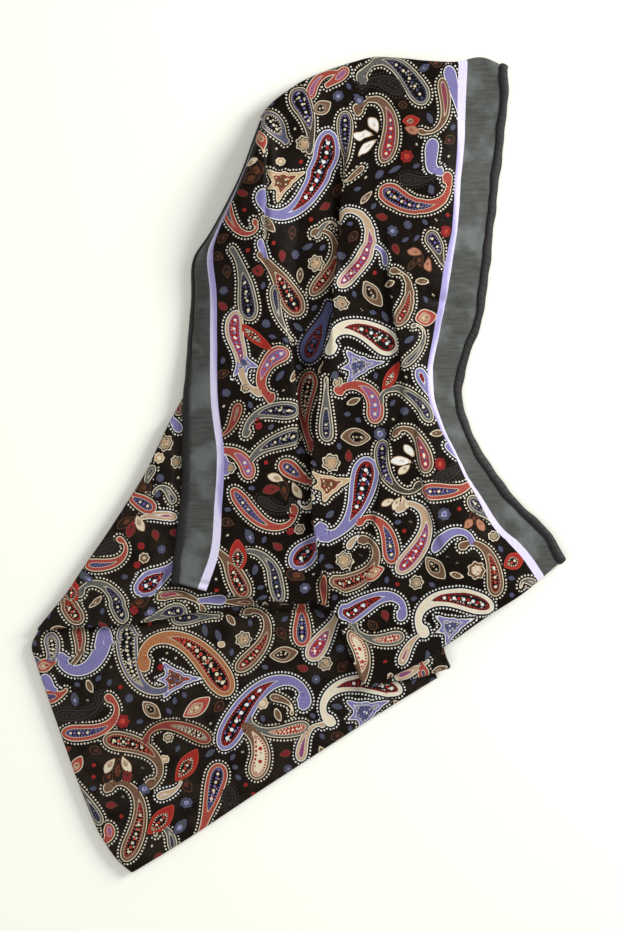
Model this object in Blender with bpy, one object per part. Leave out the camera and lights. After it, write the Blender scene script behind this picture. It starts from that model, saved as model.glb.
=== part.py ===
"""A silk cravat that lies folded on a table: seven closed solids, in metres, +Z up."""

import math

import bpy
import numpy as np
from mathutils.geometry import delaunay_2d_cdt

MM = 0.001

# Driving sizes, in millimetres
WALL = 1.0  # thickness of each cloth wall
SEAM_GAP = 0.35  # free space between pieces that meet
LAYER_GAP = 0.9  # free height kept under a wall that crosses another
NOSE_TURN = 0.8 * math.pi  # how far round a soft fold's edge turns
HEM_WIDTH = 5.4  # across the rolled hem
HEM_HEIGHT = 2.6
HEM_SIDES = 8
TABLE_GAP = 0.15  # the hems' lowest point above the table
BORDER_PART = 0.12  # share of the panel's columns that one border takes

CENTRE = (1.38, 0.02)  # plan place that becomes the origin

# The front's left edge from the lower fold up: place, height, width of border
LEFT_EDGE = (
    # x, y, z, border
    (-83.0, -81.0, 10.2, 22.0),
    (-80.5, -56.0, 10.2, 27.0),
    (-77.0, -28.0, 10.0, 25.5),
    (-75.6, 10.0, 10.0, 23.5),
    (-75.6, 46.0, 9.2, 19.5),
    (-74.0, 84.0, 6.0, 17.5),
    (-72.0, 119.0, 4.2, 16.0),
    (-70.5, 147.0, 3.6, 13.0),
    (-62.0, 160.0, 3.6, 9.0),
    (-48.0, 185.0, 3.8, 8.0),
    (-37.5, 207.0, 4.2, 8.0),
    (-29.5, 229.0, 5.0, 8.0),
    (-24.0, 243.0, 6.5, 8.0),
)

# The front's right edge from the lower fold up
RIGHT_EDGE = (
    # x, y, z, border
    (183.0, -67.5, 6.2, 20.0),
    (174.0, -50.0, 5.6, 26.0),
    (159.0, -36.0, 4.6, 27.0),
    (140.0, -14.0, 3.8, 21.0),
    (124.6, 10.0, 3.6, 16.0),
    (113.8, 35.0, 4.0, 16.0),
    (111.2, 54.0, 4.2, 19.0),
    (116.0, 77.0, 4.0, 23.0),
    (124.0, 99.0, 3.6, 26.0),
    (130.6, 143.0, 3.6, 27.0),
    (135.8, 190.0, 3.8, 25.0),
    (140.0, 228.0, 4.6, 26.0),
    (143.0, 260.0, 6.2, 29.0),
    (142.4, 279.0, 8.0, 28.0),
)

# Soft folds that end a stretch, each from its left end to its right end
LOWER_FOLD = (
    # x, y
    (-83.0, -81.0),
    (-58.0, -87.5),
    (-30.0, -92.0),
    (-4.0, -94.5),
    (16.0, -95.0),
    (27.5, -103.0),
    (35.0, -122.0),
    (42.0, -140.0),
    (49.5, -153.5),
    (66.0, -146.0),
    (86.0, -136.0),
    (108.0, -121.5),
    (132.0, -104.5),
    (157.0, -88.5),
    (183.0, -67.5),
)
TOP_FOLD = (
    # x, y
    (-24.0, 243.0),
    (-15.5, 252.0),
    (-6.0, 259.5),
    (6.0, 267.0),
    (20.0, 273.0),
    (38.0, 279.0),
    (54.0, 283.0),
    (70.0, 282.5),
    (90.0, 280.5),
    (112.0, 280.0),
    (130.0, 283.5),
    (142.4, 279.0),
)

# Swells and hollows of the front: place, height, spread along x and y
SWELLS = (
    # x, y, height, x spread, y spread
    (-28.0, 178.0, 11.0, 34.0, 62.0),
    (4.0, 236.0, 5.0, 30.0, 26.0),
    (92.0, 196.0, 4.5, 34.0, 58.0),
    (62.0, 66.0, 3.0, 26.0, 40.0),
    (-40.0, 40.0, 2.5, 22.0, 52.0),
    (108.0, -62.0, 2.5, 44.0, 30.0),
    (2.0, 84.0, -3.0, 12.0, 36.0),
    (-12.0, 232.0, -5.0, 9.0, 14.0),
)

# Lapped folds of the front: a line of four points, how high it stands on its
# high side, how far that side runs out, and how steep its drop is. A positive
# run lies to the right of the line as it goes up.
LAPS = (
    # points from below to above, height, run, drop
    (((25.0, 92.0), (31.5, 140.0), (34.0, 178.0), (35.5, 214.0)), 7.0, 30.0, 3.0),
    (((14.5, -36.0), (14.0, 0.0), (17.5, 42.0), (21.0, 84.0)), 6.0, 26.0, 3.0),
    (((22.0, -92.0), (17.5, -66.0), (14.0, -38.0), (14.0, -8.0)), 4.0, 20.0, 3.0),
    (((-2.0, 14.0), (-2.5, 42.0), (-5.0, 66.0), (-8.0, 92.0)), 5.5, -18.0, 3.0),
    (((75.5, 60.0), (71.0, 94.0), (67.0, 122.0), (63.5, 152.0)), 3.5, 18.0, 3.0),
    (((-25.5, 150.0), (-24.0, 178.0), (-23.0, 206.0), (-22.0, 232.0)), 2.5, -14.0, 2.5),
    (((52.0, -70.0), (58.0, -30.0), (64.0, 6.0), (76.0, 40.0)), 2.5, 16.0, 4.0),
    (((104.0, -60.0), (92.0, -20.0), (86.0, 20.0), (88.0, 50.0)), 2.0, 14.0, 4.0),
)

FRONT_BASE = 12.0  # height of the front's plain parts
FRONT_FOLD_TOP = 14.0  # height of the front along its upper fold
FRONT_LOWER_TOP = 12.4  # and along its lower fold
TOP_NOSE = 2.7  # radius of the upper fold
LOWER_NOSE = 1.7  # radius of the other folds
EVEN_NOSE = (LOWER_NOSE, LOWER_NOSE)

# The side stretch: its folded left edge from below up, and its lower tuck
SIDE_FOLD = (
    # x, y
    (-180.5, -115.0),
    (-172.0, -104.5),
    (-161.0, -91.0),
    (-148.0, -71.5),
    (-134.0, -51.5),
    (-120.0, -30.0),
    (-106.0, -7.5),
    (-92.5, 20.5),
    (-80.0, 45.0),
    (-72.0, 58.0),
)
TUCK = (
    # x, y
    (-180.5, -115.0),
    (-166.0, -112.6),
    (-138.0, -111.6),
    (-116.0, -110.0),
    (-95.0, -106.5),
    (-68.0, -101.0),
    (-46.0, -97.6),
    (-24.0, -96.4),
    (2.0, -95.6),
    (30.0, -95.0),
)
SIDE_HIDDEN = ((30.0, -95.0), (10.0, -50.0), (-20.0, 10.0), (-42.0, 50.0))
SIDE_HIDDEN_TOP = ((-72.0, 58.0), (-62.0, 56.0), (-52.0, 53.0), (-42.0, 50.0))
SIDE_TOP = 8.4

# The lower stretch: left edge from the tip up, lower edge from the tip right
LOWER_LEFT = (
    # x, y
    (-116.0, -284.5),
    (-124.5, -277.0),
    (-135.0, -262.5),
    (-149.5, -230.0),
    (-163.5, -191.5),
    (-174.0, -161.5),
    (-182.3, -137.0),
    (-185.0, -127.5),
    (-181.0, -117.0),
)
LOWER_RIGHT = (
    # x, y
    (-116.0, -284.5),
    (-82.0, -263.8),
    (-26.0, -226.8),
    (30.0, -190.4),
    (64.0, -168.6),
    (98.0, -148.0),
)
LOWER_HIDDEN = ((98.0, -148.0), (92.0, -130.0), (82.0, -112.0), (70.0, -96.0))
LOWER_HIDDEN_TOP = ((-181.0, -117.0), (-120.0, -98.0), (-30.0, -88.0), (70.0, -96.0))
LOWER_TOP = 5.4
LOWER_SWELLS = (
    # x, y, height, x spread, y spread
    (-60.0, -190.0, 1.6, 60.0, 26.0),
    (10.0, -140.0, 1.4, 30.0, 24.0),
    (-130.0, -160.0, 1.2, 24.0, 34.0),
    (-110.0, -240.0, 0.8, 16.0, 20.0),
)
SIDE_SWELLS = (
    # x, y, height, x spread, y spread
    (-120.0, -80.0, 1.0, 20.0, 26.0),
    (-96.0, -20.0, 0.9, 14.0, 30.0),
    (-60.0, -96.0, -0.6, 30.0, 5.0),
)

# The small folded layer under the front's lower lobe
CORNER_TIP = ((48.0, -154.5), (66.0, -150.6), (86.0, -147.0), (106.0, -141.0))
CORNER_END = ((106.0, -141.0), (103.0, -134.0), (101.0, -126.0), (98.0, -112.0))
CORNER_BACK = ((48.0, -154.5), (42.0, -136.0), (40.0, -118.0), (42.0, -98.0))
CORNER_TOP = ((42.0, -98.0), (60.0, -100.0), (80.0, -104.0), (98.0, -112.0))
CORNER_HEIGHT = 8.6

# The hidden layers: outline with the height left free under the folds above
PILE_EDGE = (
    # x, y, height of the lobes, inset of the top
    (-66.0, 142.0, 2.0, 6.0),
    (-56.0, 160.0, 2.2, 7.0),
    (-42.0, 187.0, 2.6, 7.0),
    (-31.0, 210.0, 3.4, 7.0),
    (-21.0, 238.0, 6.6, 8.0),
    (-5.0, 258.0, 8.0, 8.0),
    (20.0, 271.5, 8.0, 8.0),
    (54.0, 281.0, 8.0, 8.0),
    (90.0, 279.0, 8.0, 8.0),
    (124.0, 278.0, 5.0, 8.0),
    (133.0, 262.0, 2.4, 6.0),
    (128.0, 226.0, 2.0, 6.0),
    (122.0, 180.0, 1.9, 6.0),
    (118.0, 140.0, 1.8, 6.0),
    (110.0, 100.0, 1.8, 6.0),
    (101.0, 74.0, 1.9, 6.0),
    (97.0, 52.0, 2.0, 6.0),
    (101.0, 32.0, 1.9, 6.0),
    (112.0, 4.0, 1.8, 6.0),
    (128.0, -22.0, 1.9, 6.0),
    (148.0, -46.0, 2.2, 6.0),
    (164.0, -62.0, 2.6, 6.0),
    (168.0, -75.0, 4.4, 7.0),
    (152.0, -88.5, 6.6, 7.0),
    (130.0, -103.0, 7.0, 7.0),
    (108.0, -119.0, 5.6, 7.0),
    (101.0, -136.0, 3.4, 7.0),
    (90.0, -150.0, 2.0, 7.0),
    (64.0, -166.0, 2.0, 7.0),
    (30.0, -188.0, 2.0, 7.0),
    (-26.0, -224.5, 2.0, 7.0),
    (-82.0, -261.5, 2.0, 7.0),
    (-114.0, -282.0, 2.0, 7.0),
    (-123.0, -275.0, 2.0, 7.0),
    (-133.5, -261.0, 2.0, 7.0),
    (-148.0, -229.0, 2.0, 7.0),
    (-162.0, -191.0, 2.0, 7.0),
    (-172.5, -161.0, 2.0, 7.0),
    (-181.0, -137.0, 2.0, 7.0),
    (-182.0, -126.0, 2.0, 7.0),
    (-176.0, -110.0, 4.4, 7.0),
    (-159.5, -90.0, 4.8, 7.0),
    (-146.5, -70.5, 4.8, 7.0),
    (-118.5, -29.0, 4.8, 7.0),
    (-104.5, -6.5, 4.8, 7.0),
    (-91.0, 21.0, 4.8, 7.0),
    (-78.0, 45.0, 4.4, 7.0),
    (-71.0, 62.0, 3.0, 6.0),
    (-68.0, 100.0, 2.0, 6.0),
)
CORE_STEP = 13.0  # spacing of the points on the hidden layers' top
CORE_MOST = 12.0  # the hidden layers are no higher than this
CORE_LEAST = 0.8
RIM_POINTS = 130
LOBES = (
    # share of the lobes' height, inset
    (0.0, 2.6),
    (0.14, 1.3),
    (0.36, 1.3),
    (0.5, 2.4),
    (0.64, 1.3),
    (0.86, 1.3),
    (1.0, 2.6),
)

# Plain colours of the pieces
BLACK_PRINT = (0.035, 0.030, 0.032)
HEM_BLACK = (0.020, 0.020, 0.022)

# Fineness of the sheets, in cells across and along
FRONT_CELLS = (34, 44)
SIDE_CELLS = (18, 24)
LOWER_CELLS = (20, 26)
CORNER_CELLS = (8, 6)
NOSE_CELLS = 4
CEILING_CELL = 2.0  # cell of the map of free height
CEILING_REACH = 3  # cells that a wall's points lower round them
MAP_LOW = (-200.0, -300.0)  # corner of that map in plan
MAP_SIZE = (200, 306)  # its cells
MAP_EMPTY = 90.0  # free height where nothing lies above
MAP_STEP = 4.0  # the largest step that its softening counts


def clear_scene():
    for item in list(bpy.data.objects):
        bpy.data.objects.remove(item, do_unlink=True)


def read_curve(rows, share):
    """Smooth curve through the rows, read at shares of its length."""
    points = np.array(rows, float)
    steps = np.linalg.norm(np.diff(points[:, :2], axis=0), axis=1)
    knots = np.concatenate([[0.0], np.cumsum(steps)]) / steps.sum()
    slopes = np.gradient(points, knots, axis=0)
    share = np.clip(np.asarray(share, float), 0.0, 1.0)
    index = np.clip(np.searchsorted(knots, share, side="right") - 1, 0, len(knots) - 2)
    width = (knots[index + 1] - knots[index])[..., None]
    t = (share - knots[index])[..., None] / width
    first = points[index] * (2 * t**3 - 3 * t**2 + 1)
    second = points[index + 1] * (-2 * t**3 + 3 * t**2)
    bend = slopes[index] * (t**3 - 2 * t**2 + t) + slopes[index + 1] * (t**3 - t**2)
    return first + second + bend * width


def smooth(value):
    value = np.clip(value, 0.0, 1.0)
    return value * value * (3.0 - 2.0 * value)


def swell_height(rows, x, y):
    height = np.zeros_like(x)
    for place_x, place_y, rise, wide, tall in rows:
        reach = ((x - place_x) / wide) ** 2 + ((y - place_y) / tall) ** 2
        height += rise * np.exp(-reach)
    return height


def lap_height(x, y):
    """Height that the lapped folds add to the front."""
    height = np.zeros_like(x)
    for points, rise, run, drop in LAPS:
        line = read_curve(points, np.linspace(0.0, 1.0, 25))
        share = np.clip((y - line[0, 1]) / (line[-1, 1] - line[0, 1]), -0.4, 1.4)
        line_x = np.interp(y, line[:, 1], line[:, 0])
        away = (x - line_x) * math.copysign(1.0, run)
        fade = smooth((share + 0.3) / 0.5) * smooth((1.3 - share) / 0.5)
        high = np.exp(-np.clip(away, 0.0, None) / abs(run))
        low = smooth(1.0 + away / drop)
        height += rise * fade * np.where(away > 0.0, high, low)
    return height


def front_height(x, y, p, q):
    """Height of the front's outer side at a place in plan."""
    left = read_curve(LEFT_EDGE, q)[..., 2]
    right = read_curve(RIGHT_EDGE, q)[..., 2]
    inner = FRONT_BASE + swell_height(SWELLS, x, y) + lap_height(x, y)
    top = smooth((q - 0.93) / 0.07)
    inner = inner + (FRONT_FOLD_TOP - inner) * top
    bottom = smooth((0.06 - q) / 0.06)
    inner = inner + (FRONT_LOWER_TOP - inner) * bottom
    near_left = np.clip(p / (BORDER_PART * 1.5), 0.0, 1.0)
    near_right = np.clip((1.0 - p) / (BORDER_PART * 1.8), 0.0, 1.0)
    rise_left = np.sqrt(1.0 - (1.0 - near_left) ** 2)
    rise_right = np.sin(near_right * math.pi / 2.0)
    height = left + (inner - left) * rise_left
    return right + (height - right) * rise_right


def patch(left, right, lower, upper, p, q):
    """Plan place on a four-sided patch, all sides read as curves."""
    side_l = read_curve(left, q)[..., :2]
    side_r = read_curve(right, q)[..., :2]
    side_b = read_curve(lower, p)[..., :2]
    side_t = read_curve(upper, p)[..., :2]
    corner = [np.array(row[:2]) for row in (lower[0], lower[-1], upper[0], upper[-1])]
    a, b = p[..., None], q[..., None]
    ruled = (1 - a) * side_l + a * side_r + (1 - b) * side_b + b * side_t
    twice = (
        (1 - a) * (1 - b) * corner[0]
        + a * (1 - b) * corner[1]
        + (1 - a) * b * corner[2]
        + a * b * corner[3]
    )
    return ruled - twice


def front_plan(p, q):
    """Plan place on the front, where the borders keep their own widths."""
    across = read_curve(RIGHT_EDGE, q)[..., :2] - read_curve(LEFT_EDGE, q)[..., :2]
    width = np.linalg.norm(across, axis=-1)
    left = read_curve(LEFT_EDGE, q)[..., 3] / width
    right = 1.0 - read_curve(RIGHT_EDGE, q)[..., 3] / width
    in_left = p / BORDER_PART * left
    in_right = 1.0 - (1.0 - p) / BORDER_PART * (1.0 - right)
    share = (p - BORDER_PART) / (1.0 - 2.0 * BORDER_PART)
    middle = left + share * (right - left)
    place = np.where(p < BORDER_PART, in_left, middle)
    place = np.where(p > 1.0 - BORDER_PART, in_right, place)
    return patch(LEFT_EDGE, RIGHT_EDGE, LOWER_FOLD, TOP_FOLD, place, q)


def front_surface(p, q):
    plan = front_plan(p, q)
    height = front_height(plan[..., 0], plan[..., 1], p, q)
    return np.concatenate([plan, height[..., None]], axis=-1)


def plain_surface(sides, top, swells, ceiling):
    """A surface function for a stretch of nearly even height below others."""

    def surface(p, q):
        plan = patch(*sides, p, q)
        x, y = plan[..., 0], plan[..., 1]
        height = top + swell_height(swells, x, y)
        near = np.minimum(smooth(p / 0.08), smooth(q / 0.08))
        height = top + (height - top) * near
        height = np.minimum(height, ceiling.read(x, y) - LAYER_GAP)
        return np.concatenate([plan, height[..., None]], axis=-1)

    return surface


class Ceiling:
    """A map of the lowest wall seen so far above each cell of the table."""

    def __init__(self):
        self.low = np.array(MAP_LOW)
        self.size = MAP_SIZE
        self.map = np.full(self.size, MAP_EMPTY)
        self.soft = None

    def add(self, points):
        """Lowers the map to these points, spread over their neighbours."""
        self.soft = None
        cell = np.floor((points[:, :2] - self.low) / CEILING_CELL).astype(int)
        for step_x in range(-CEILING_REACH, CEILING_REACH + 1):
            for step_y in range(-CEILING_REACH, CEILING_REACH + 1):
                place = np.clip(cell + (step_x, step_y), 0, np.array(self.size) - 1)
                np.minimum.at(self.map, (place[:, 0], place[:, 1]), points[:, 2])

    def softened(self):
        """The map with its steps rounded off, never above the map itself."""
        wide = np.pad(self.map, 2, mode="edge")
        total = np.zeros_like(self.map)
        count = 0
        for step_x in range(5):
            for step_y in range(5):
                part = wide[
                    step_x : step_x + self.size[0], step_y : step_y + self.size[1]
                ]
                total += np.minimum(part, self.map + MAP_STEP)
                count += 1
        return np.minimum(total / count, self.map)

    def read(self, x, y):
        if self.soft is None:
            self.soft = self.softened()
        soft = self.soft
        u = np.clip((x - self.low[0]) / CEILING_CELL - 0.5, 0, self.size[0] - 1.001)
        v = np.clip((y - self.low[1]) / CEILING_CELL - 0.5, 0, self.size[1] - 1.001)
        i, j = u.astype(int), v.astype(int)
        a, b = u - i, v - j
        near = soft[i, j] * (1 - a) + soft[i + 1, j] * a
        far = soft[i, j + 1] * (1 - a) + soft[i + 1, j + 1] * a
        return near * (1 - b) + far * b


def outward(surface, p, q):
    """Unit direction out of the patch in plan, at its rim."""
    step = 0.01
    side_p = np.where(p <= 0.0, -1.0, np.where(p >= 1.0, 1.0, 0.0))
    side_q = np.where(q <= 0.0, -1.0, np.where(q >= 1.0, 1.0, 0.0))
    inner_p = np.clip(p, 0.0, 1.0)
    inner_q = np.clip(q, 0.0, 1.0)
    along_p = surface(np.clip(inner_p + step, 0, 1), inner_q) - surface(
        np.clip(inner_p - step, 0, 1), inner_q
    )
    along_q = surface(inner_p, np.clip(inner_q + step, 0, 1)) - surface(
        inner_p, np.clip(inner_q - step, 0, 1)
    )
    normal_q = np.stack([-along_p[..., 1], along_p[..., 0]], axis=-1)
    normal_p = np.stack([along_q[..., 1], -along_q[..., 0]], axis=-1)
    normal_q /= np.linalg.norm(normal_q, axis=-1, keepdims=True) + 1e-12
    normal_p /= np.linalg.norm(normal_p, axis=-1, keepdims=True) + 1e-12
    return side_p[..., None] * normal_p, side_q[..., None] * normal_q


def with_noses(surface, p, q, extra_p, extra_q, radius):
    """Points of the surface, turned down round a soft edge where it goes on."""
    base = surface(p, q)
    out_p, out_q = outward(surface, p, q)
    lean = out_p * extra_p[..., None] + out_q * extra_q[..., None]
    turn = np.maximum(extra_p, extra_q)
    radius = radius[0] + (radius[1] - radius[0]) * q
    length = np.linalg.norm(lean, axis=-1, keepdims=True)
    lean = lean / np.maximum(length, 1e-9)
    angle = turn * NOSE_TURN
    base[..., :2] += lean * (radius * np.sin(angle))[..., None]
    base[..., 2] -= radius * (1.0 - np.cos(angle))
    return base


def spread_rows(cells, nose_start, nose_end):
    """Shares along one direction, with how far each lies round a nose."""
    inner = np.linspace(0.0, 1.0, cells + 1)
    turns = np.linspace(0.0, 1.0, NOSE_CELLS + 1)[1:]
    share = inner
    extra = np.zeros_like(inner)
    if nose_start:
        share = np.concatenate([np.zeros(NOSE_CELLS), share])
        extra = np.concatenate([turns[::-1], extra])
    if nose_end:
        share = np.concatenate([share, np.ones(NOSE_CELLS)])
        extra = np.concatenate([extra, turns])
    return share, extra


def sheet_points(surface, cells, noses, radius):
    """Grid of outer points: noses names the sides p0, p1, q0 and q1."""
    share_p, extra_p = spread_rows(cells[0], "p0" in noses, "p1" in noses)
    share_q, extra_q = spread_rows(cells[1], "q0" in noses, "q1" in noses)
    p, q = np.meshgrid(share_p, share_q, indexing="ij")
    turn_p, turn_q = np.meshgrid(extra_p, extra_q, indexing="ij")
    return with_noses(surface, p, q, turn_p, turn_q, radius)


def grid_normals(points):
    along_p = np.gradient(points, axis=0)
    along_q = np.gradient(points, axis=1)
    normal = np.cross(along_p, along_q)
    return normal / np.maximum(np.linalg.norm(normal, axis=-1, keepdims=True), 1e-9)


def wall_mesh(outer, inner):
    """Vertices and faces of the closed wall between two grids of points."""
    rows, columns = outer.shape[:2]
    count = rows * columns
    points = np.concatenate([outer.reshape(-1, 3), inner.reshape(-1, 3)])

    def at(i, j, side):
        return side * count + i * columns + j

    faces = []
    for i in range(rows - 1):
        for j in range(columns - 1):
            ring = [(i, j), (i + 1, j), (i + 1, j + 1), (i, j + 1)]
            faces.append([at(a, b, 0) for a, b in ring])
            faces.append([at(a, b, 1) for a, b in reversed(ring)])
    for i in range(rows - 1):
        faces.append([at(i, 0, 0), at(i, 0, 1), at(i + 1, 0, 1), at(i + 1, 0, 0)])
        last = columns - 1
        faces.append(
            [at(i + 1, last, 0), at(i + 1, last, 1), at(i, last, 1), at(i, last, 0)]
        )
    for j in range(columns - 1):
        last = rows - 1
        faces.append([at(0, j + 1, 0), at(0, j + 1, 1), at(0, j, 1), at(0, j, 0)])
        faces.append(
            [at(last, j, 0), at(last, j, 1), at(last, j + 1, 1), at(last, j + 1, 0)]
        )
    return points, faces


def make_material(name, colour, roughness):
    material = bpy.data.materials.new(name)
    material.use_nodes = True
    shader = material.node_tree.nodes["Principled BSDF"]
    shader.inputs["Base Color"].default_value = (*colour, 1.0)
    shader.inputs["Roughness"].default_value = roughness
    shader.inputs["Metallic"].default_value = 0.0
    return material


def add_object(name, points, faces, material):
    mesh = bpy.data.meshes.new(name)
    placed = np.asarray(points, float) - (*CENTRE, 0.0)
    mesh.from_pydata((placed * MM).tolist(), [], faces)
    mesh.validate()
    mesh.materials.append(material)
    mesh.shade_smooth()
    mesh.set_sharp_from_angle(angle=math.radians(50.0))
    item = bpy.data.objects.new(name, mesh)
    bpy.context.scene.collection.objects.link(item)
    return item


def make_sheet(name, points, material, ceiling):
    inner = points - grid_normals(points) * WALL
    add_object(name, *wall_mesh(points, inner), material)
    fine = np.concatenate([refined(inner), refined(points)])
    ceiling.add(fine)


def refined(points):
    """The grid's points with those halfway between them, as one list."""
    for axis in (0, 1, 0, 1):
        middle = 0.5 * (
            points.take(range(points.shape[axis] - 1), axis)
            + points.take(range(1, points.shape[axis]), axis)
        )
        order = []
        for index in range(points.shape[axis]):
            order.append(points.take([index], axis))
            if index < points.shape[axis] - 1:
                order.append(middle.take([index], axis))
        points = np.concatenate(order, axis=axis)
    return points.reshape(-1, 3)


def make_hem(name, points, side, material, ceiling):
    """A rolled hem along one free side of the front's grid."""
    edge = points[0] if side < 0 else points[-1]
    inside = points[1] if side < 0 else points[-2]
    across = edge - inside
    across /= np.linalg.norm(across, axis=1, keepdims=True)
    along = np.gradient(edge, axis=0)
    up = np.cross(across, along) * -side
    up /= np.linalg.norm(up, axis=1, keepdims=True)
    across = np.cross(up, along) * side * -1.0
    across /= np.linalg.norm(across, axis=1, keepdims=True)
    away = np.sum(across * (edge - inside), axis=1, keepdims=True)
    across = across * np.sign(away)
    centre = edge + across * (SEAM_GAP + HEM_WIDTH / 2) - up * WALL / 2
    rings = []
    for step in range(HEM_SIDES):
        angle = 2.0 * math.pi * step / HEM_SIDES
        wide = across * math.cos(angle) * HEM_WIDTH / 2
        tall = up * math.sin(angle) * HEM_HEIGHT / 2
        rings.append(centre + wide + tall)
    rings = np.stack(rings, axis=1)
    rings[..., 2] = np.maximum(rings[..., 2], TABLE_GAP)
    count = len(rings)
    faces = []
    for i in range(count - 1):
        for k in range(HEM_SIDES):
            after = (k + 1) % HEM_SIDES
            ring = [
                i * HEM_SIDES + k,
                i * HEM_SIDES + after,
                (i + 1) * HEM_SIDES + after,
                (i + 1) * HEM_SIDES + k,
            ]
            faces.append(ring[::-1] if side < 0 else ring)
    first = list(range(HEM_SIDES))
    last = [(count - 1) * HEM_SIDES + k for k in range(HEM_SIDES)]
    faces.append(first if side < 0 else first[::-1])
    faces.append(last[::-1] if side < 0 else last)
    add_object(name, rings.reshape(-1, 3), faces, material)
    ceiling.add(refined(rings))


def inset_points(outline, distance):
    """The closed outline moved in by a distance at each point."""
    after = np.roll(outline, -1, axis=0)
    before = np.roll(outline, 1, axis=0)
    along = after - before
    along /= np.linalg.norm(along, axis=1, keepdims=True)
    inward = np.stack([along[:, 1], -along[:, 0]], axis=1)
    return outline + inward * distance[:, None]


def make_core(material, ceiling):
    """The hidden layers: lobes round the rim, a soft top and a flat underside."""
    rows = PILE_EDGE + PILE_EDGE[:1]
    rim = read_curve(rows, np.linspace(0.0, 1.0, RIM_POINTS + 1)[:-1])
    outline, lobes, depth = rim[:, :2], rim[:, 2], rim[:, 3]
    rings = []
    for share, inset in LOBES:
        plan = inset_points(outline, np.full(len(outline), inset))
        free = ceiling.read(plan[:, 0], plan[:, 1]) - LAYER_GAP
        height = np.minimum(lobes, np.maximum(free, CORE_LEAST)) * share
        rings.append(np.concatenate([plan, height[:, None]], axis=1))
    inner = inset_points(outline, depth)
    top = core_top(inner, ceiling)
    rings.append(np.concatenate([inner, top[:, None]], axis=1))
    points = [tuple(row) for ring in rings for row in ring]
    count = len(outline)
    faces = []
    for level in range(len(rings) - 1):
        for i in range(count):
            after = (i + 1) % count
            low, high = level * count, (level + 1) * count
            faces.append([low + i, high + i, high + after, low + after])
    faces.append(list(range(count)))
    fill_top(points, faces, inner, (len(rings) - 1) * count, ceiling)
    add_object("hidden_layers", points, faces, material)


def core_top(plan, ceiling):
    """Height of the hidden layers' top, as high as the walls above allow."""
    free = ceiling.read(plan[:, 0], plan[:, 1]) - LAYER_GAP
    return np.clip(free, CORE_LEAST, CORE_MOST)


def fill_top(points, faces, inner, start, ceiling):
    """Spans the inner ring with even points, joined by Delaunay triangles."""
    low, high = inner.min(axis=0), inner.max(axis=0)
    xs = np.arange(low[0], high[0], CORE_STEP)
    ys = np.arange(low[1], high[1], CORE_STEP)
    spare = []
    for x in xs:
        for y in ys:
            if inside(inner, x, y) and nearest(inner, x, y) > CORE_STEP * 0.45:
                spare.append((x, y))
    verts = [tuple(row) for row in inner] + spare
    edges = [(i, (i + 1) % len(inner)) for i in range(len(inner))]
    result = delaunay_2d_cdt(verts, edges, [], 1, 1e-6)
    places, triangles = result[0], result[2]
    plan = np.array([tuple(v) for v in places])
    heights = core_top(plan, ceiling)
    index = {}
    for number, place in enumerate(places):
        source = result[3][number]
        ring = [k for k in source if k < len(inner)]
        if ring:
            index[number] = start + ring[0]
        else:
            index[number] = len(points)
            points.append((place[0], place[1], heights[number]))
    for triangle in triangles:
        faces.append([index[k] for k in triangle])


def inside(outline, x, y):
    before = np.roll(outline, 1, axis=0)
    crosses = (outline[:, 1] > y) != (before[:, 1] > y)
    rise = before[:, 1] - outline[:, 1]
    rise = np.where(rise == 0.0, 1e-9, rise)
    at = outline[:, 0] + (y - outline[:, 1]) / rise * (before[:, 0] - outline[:, 0])
    return bool((crosses & (x < at)).sum() % 2)


def nearest(outline, x, y):
    return float(np.hypot(outline[:, 0] - x, outline[:, 1] - y).min())


def main():
    clear_scene()
    print_cloth = make_material("printed_silk", BLACK_PRINT, 0.6)
    hem_cloth = make_material("rolled_hem", HEM_BLACK, 0.7)
    ceiling = Ceiling()

    front = sheet_points(front_surface, FRONT_CELLS, ("q0", "q1"), (LOWER_NOSE, TOP_NOSE))
    make_sheet("front_stretch", front, print_cloth, ceiling)
    make_hem("hem_left", front[:, : -NOSE_CELLS - 1], -1, hem_cloth, ceiling)
    make_hem("hem_right", front, 1, hem_cloth, ceiling)

    sides = (CORNER_BACK, CORNER_END, CORNER_TIP, CORNER_TOP)
    corner = plain_surface(sides, CORNER_HEIGHT, (), ceiling)
    points = sheet_points(corner, CORNER_CELLS, ("p1", "q0"), EVEN_NOSE)
    make_sheet("corner_fold", points, print_cloth, ceiling)

    sides = (SIDE_FOLD, SIDE_HIDDEN, TUCK, SIDE_HIDDEN_TOP)
    side = plain_surface(sides, SIDE_TOP, SIDE_SWELLS, ceiling)
    points = sheet_points(side, SIDE_CELLS, ("p0", "q0"), EVEN_NOSE)
    make_sheet("side_stretch", points, print_cloth, ceiling)

    sides = (LOWER_LEFT, LOWER_HIDDEN, LOWER_RIGHT, LOWER_HIDDEN_TOP)
    lower = plain_surface(sides, LOWER_TOP, LOWER_SWELLS, ceiling)
    points = sheet_points(lower, LOWER_CELLS, ("p0", "q0"), EVEN_NOSE)
    make_sheet("lower_stretch", points, print_cloth, ceiling)

    make_core(print_cloth, ceiling)


main()
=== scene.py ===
import math
from collections import namedtuple

import bpy
import numpy as np
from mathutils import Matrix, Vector
from mathutils.geometry import delaunay_2d_cdt


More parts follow.
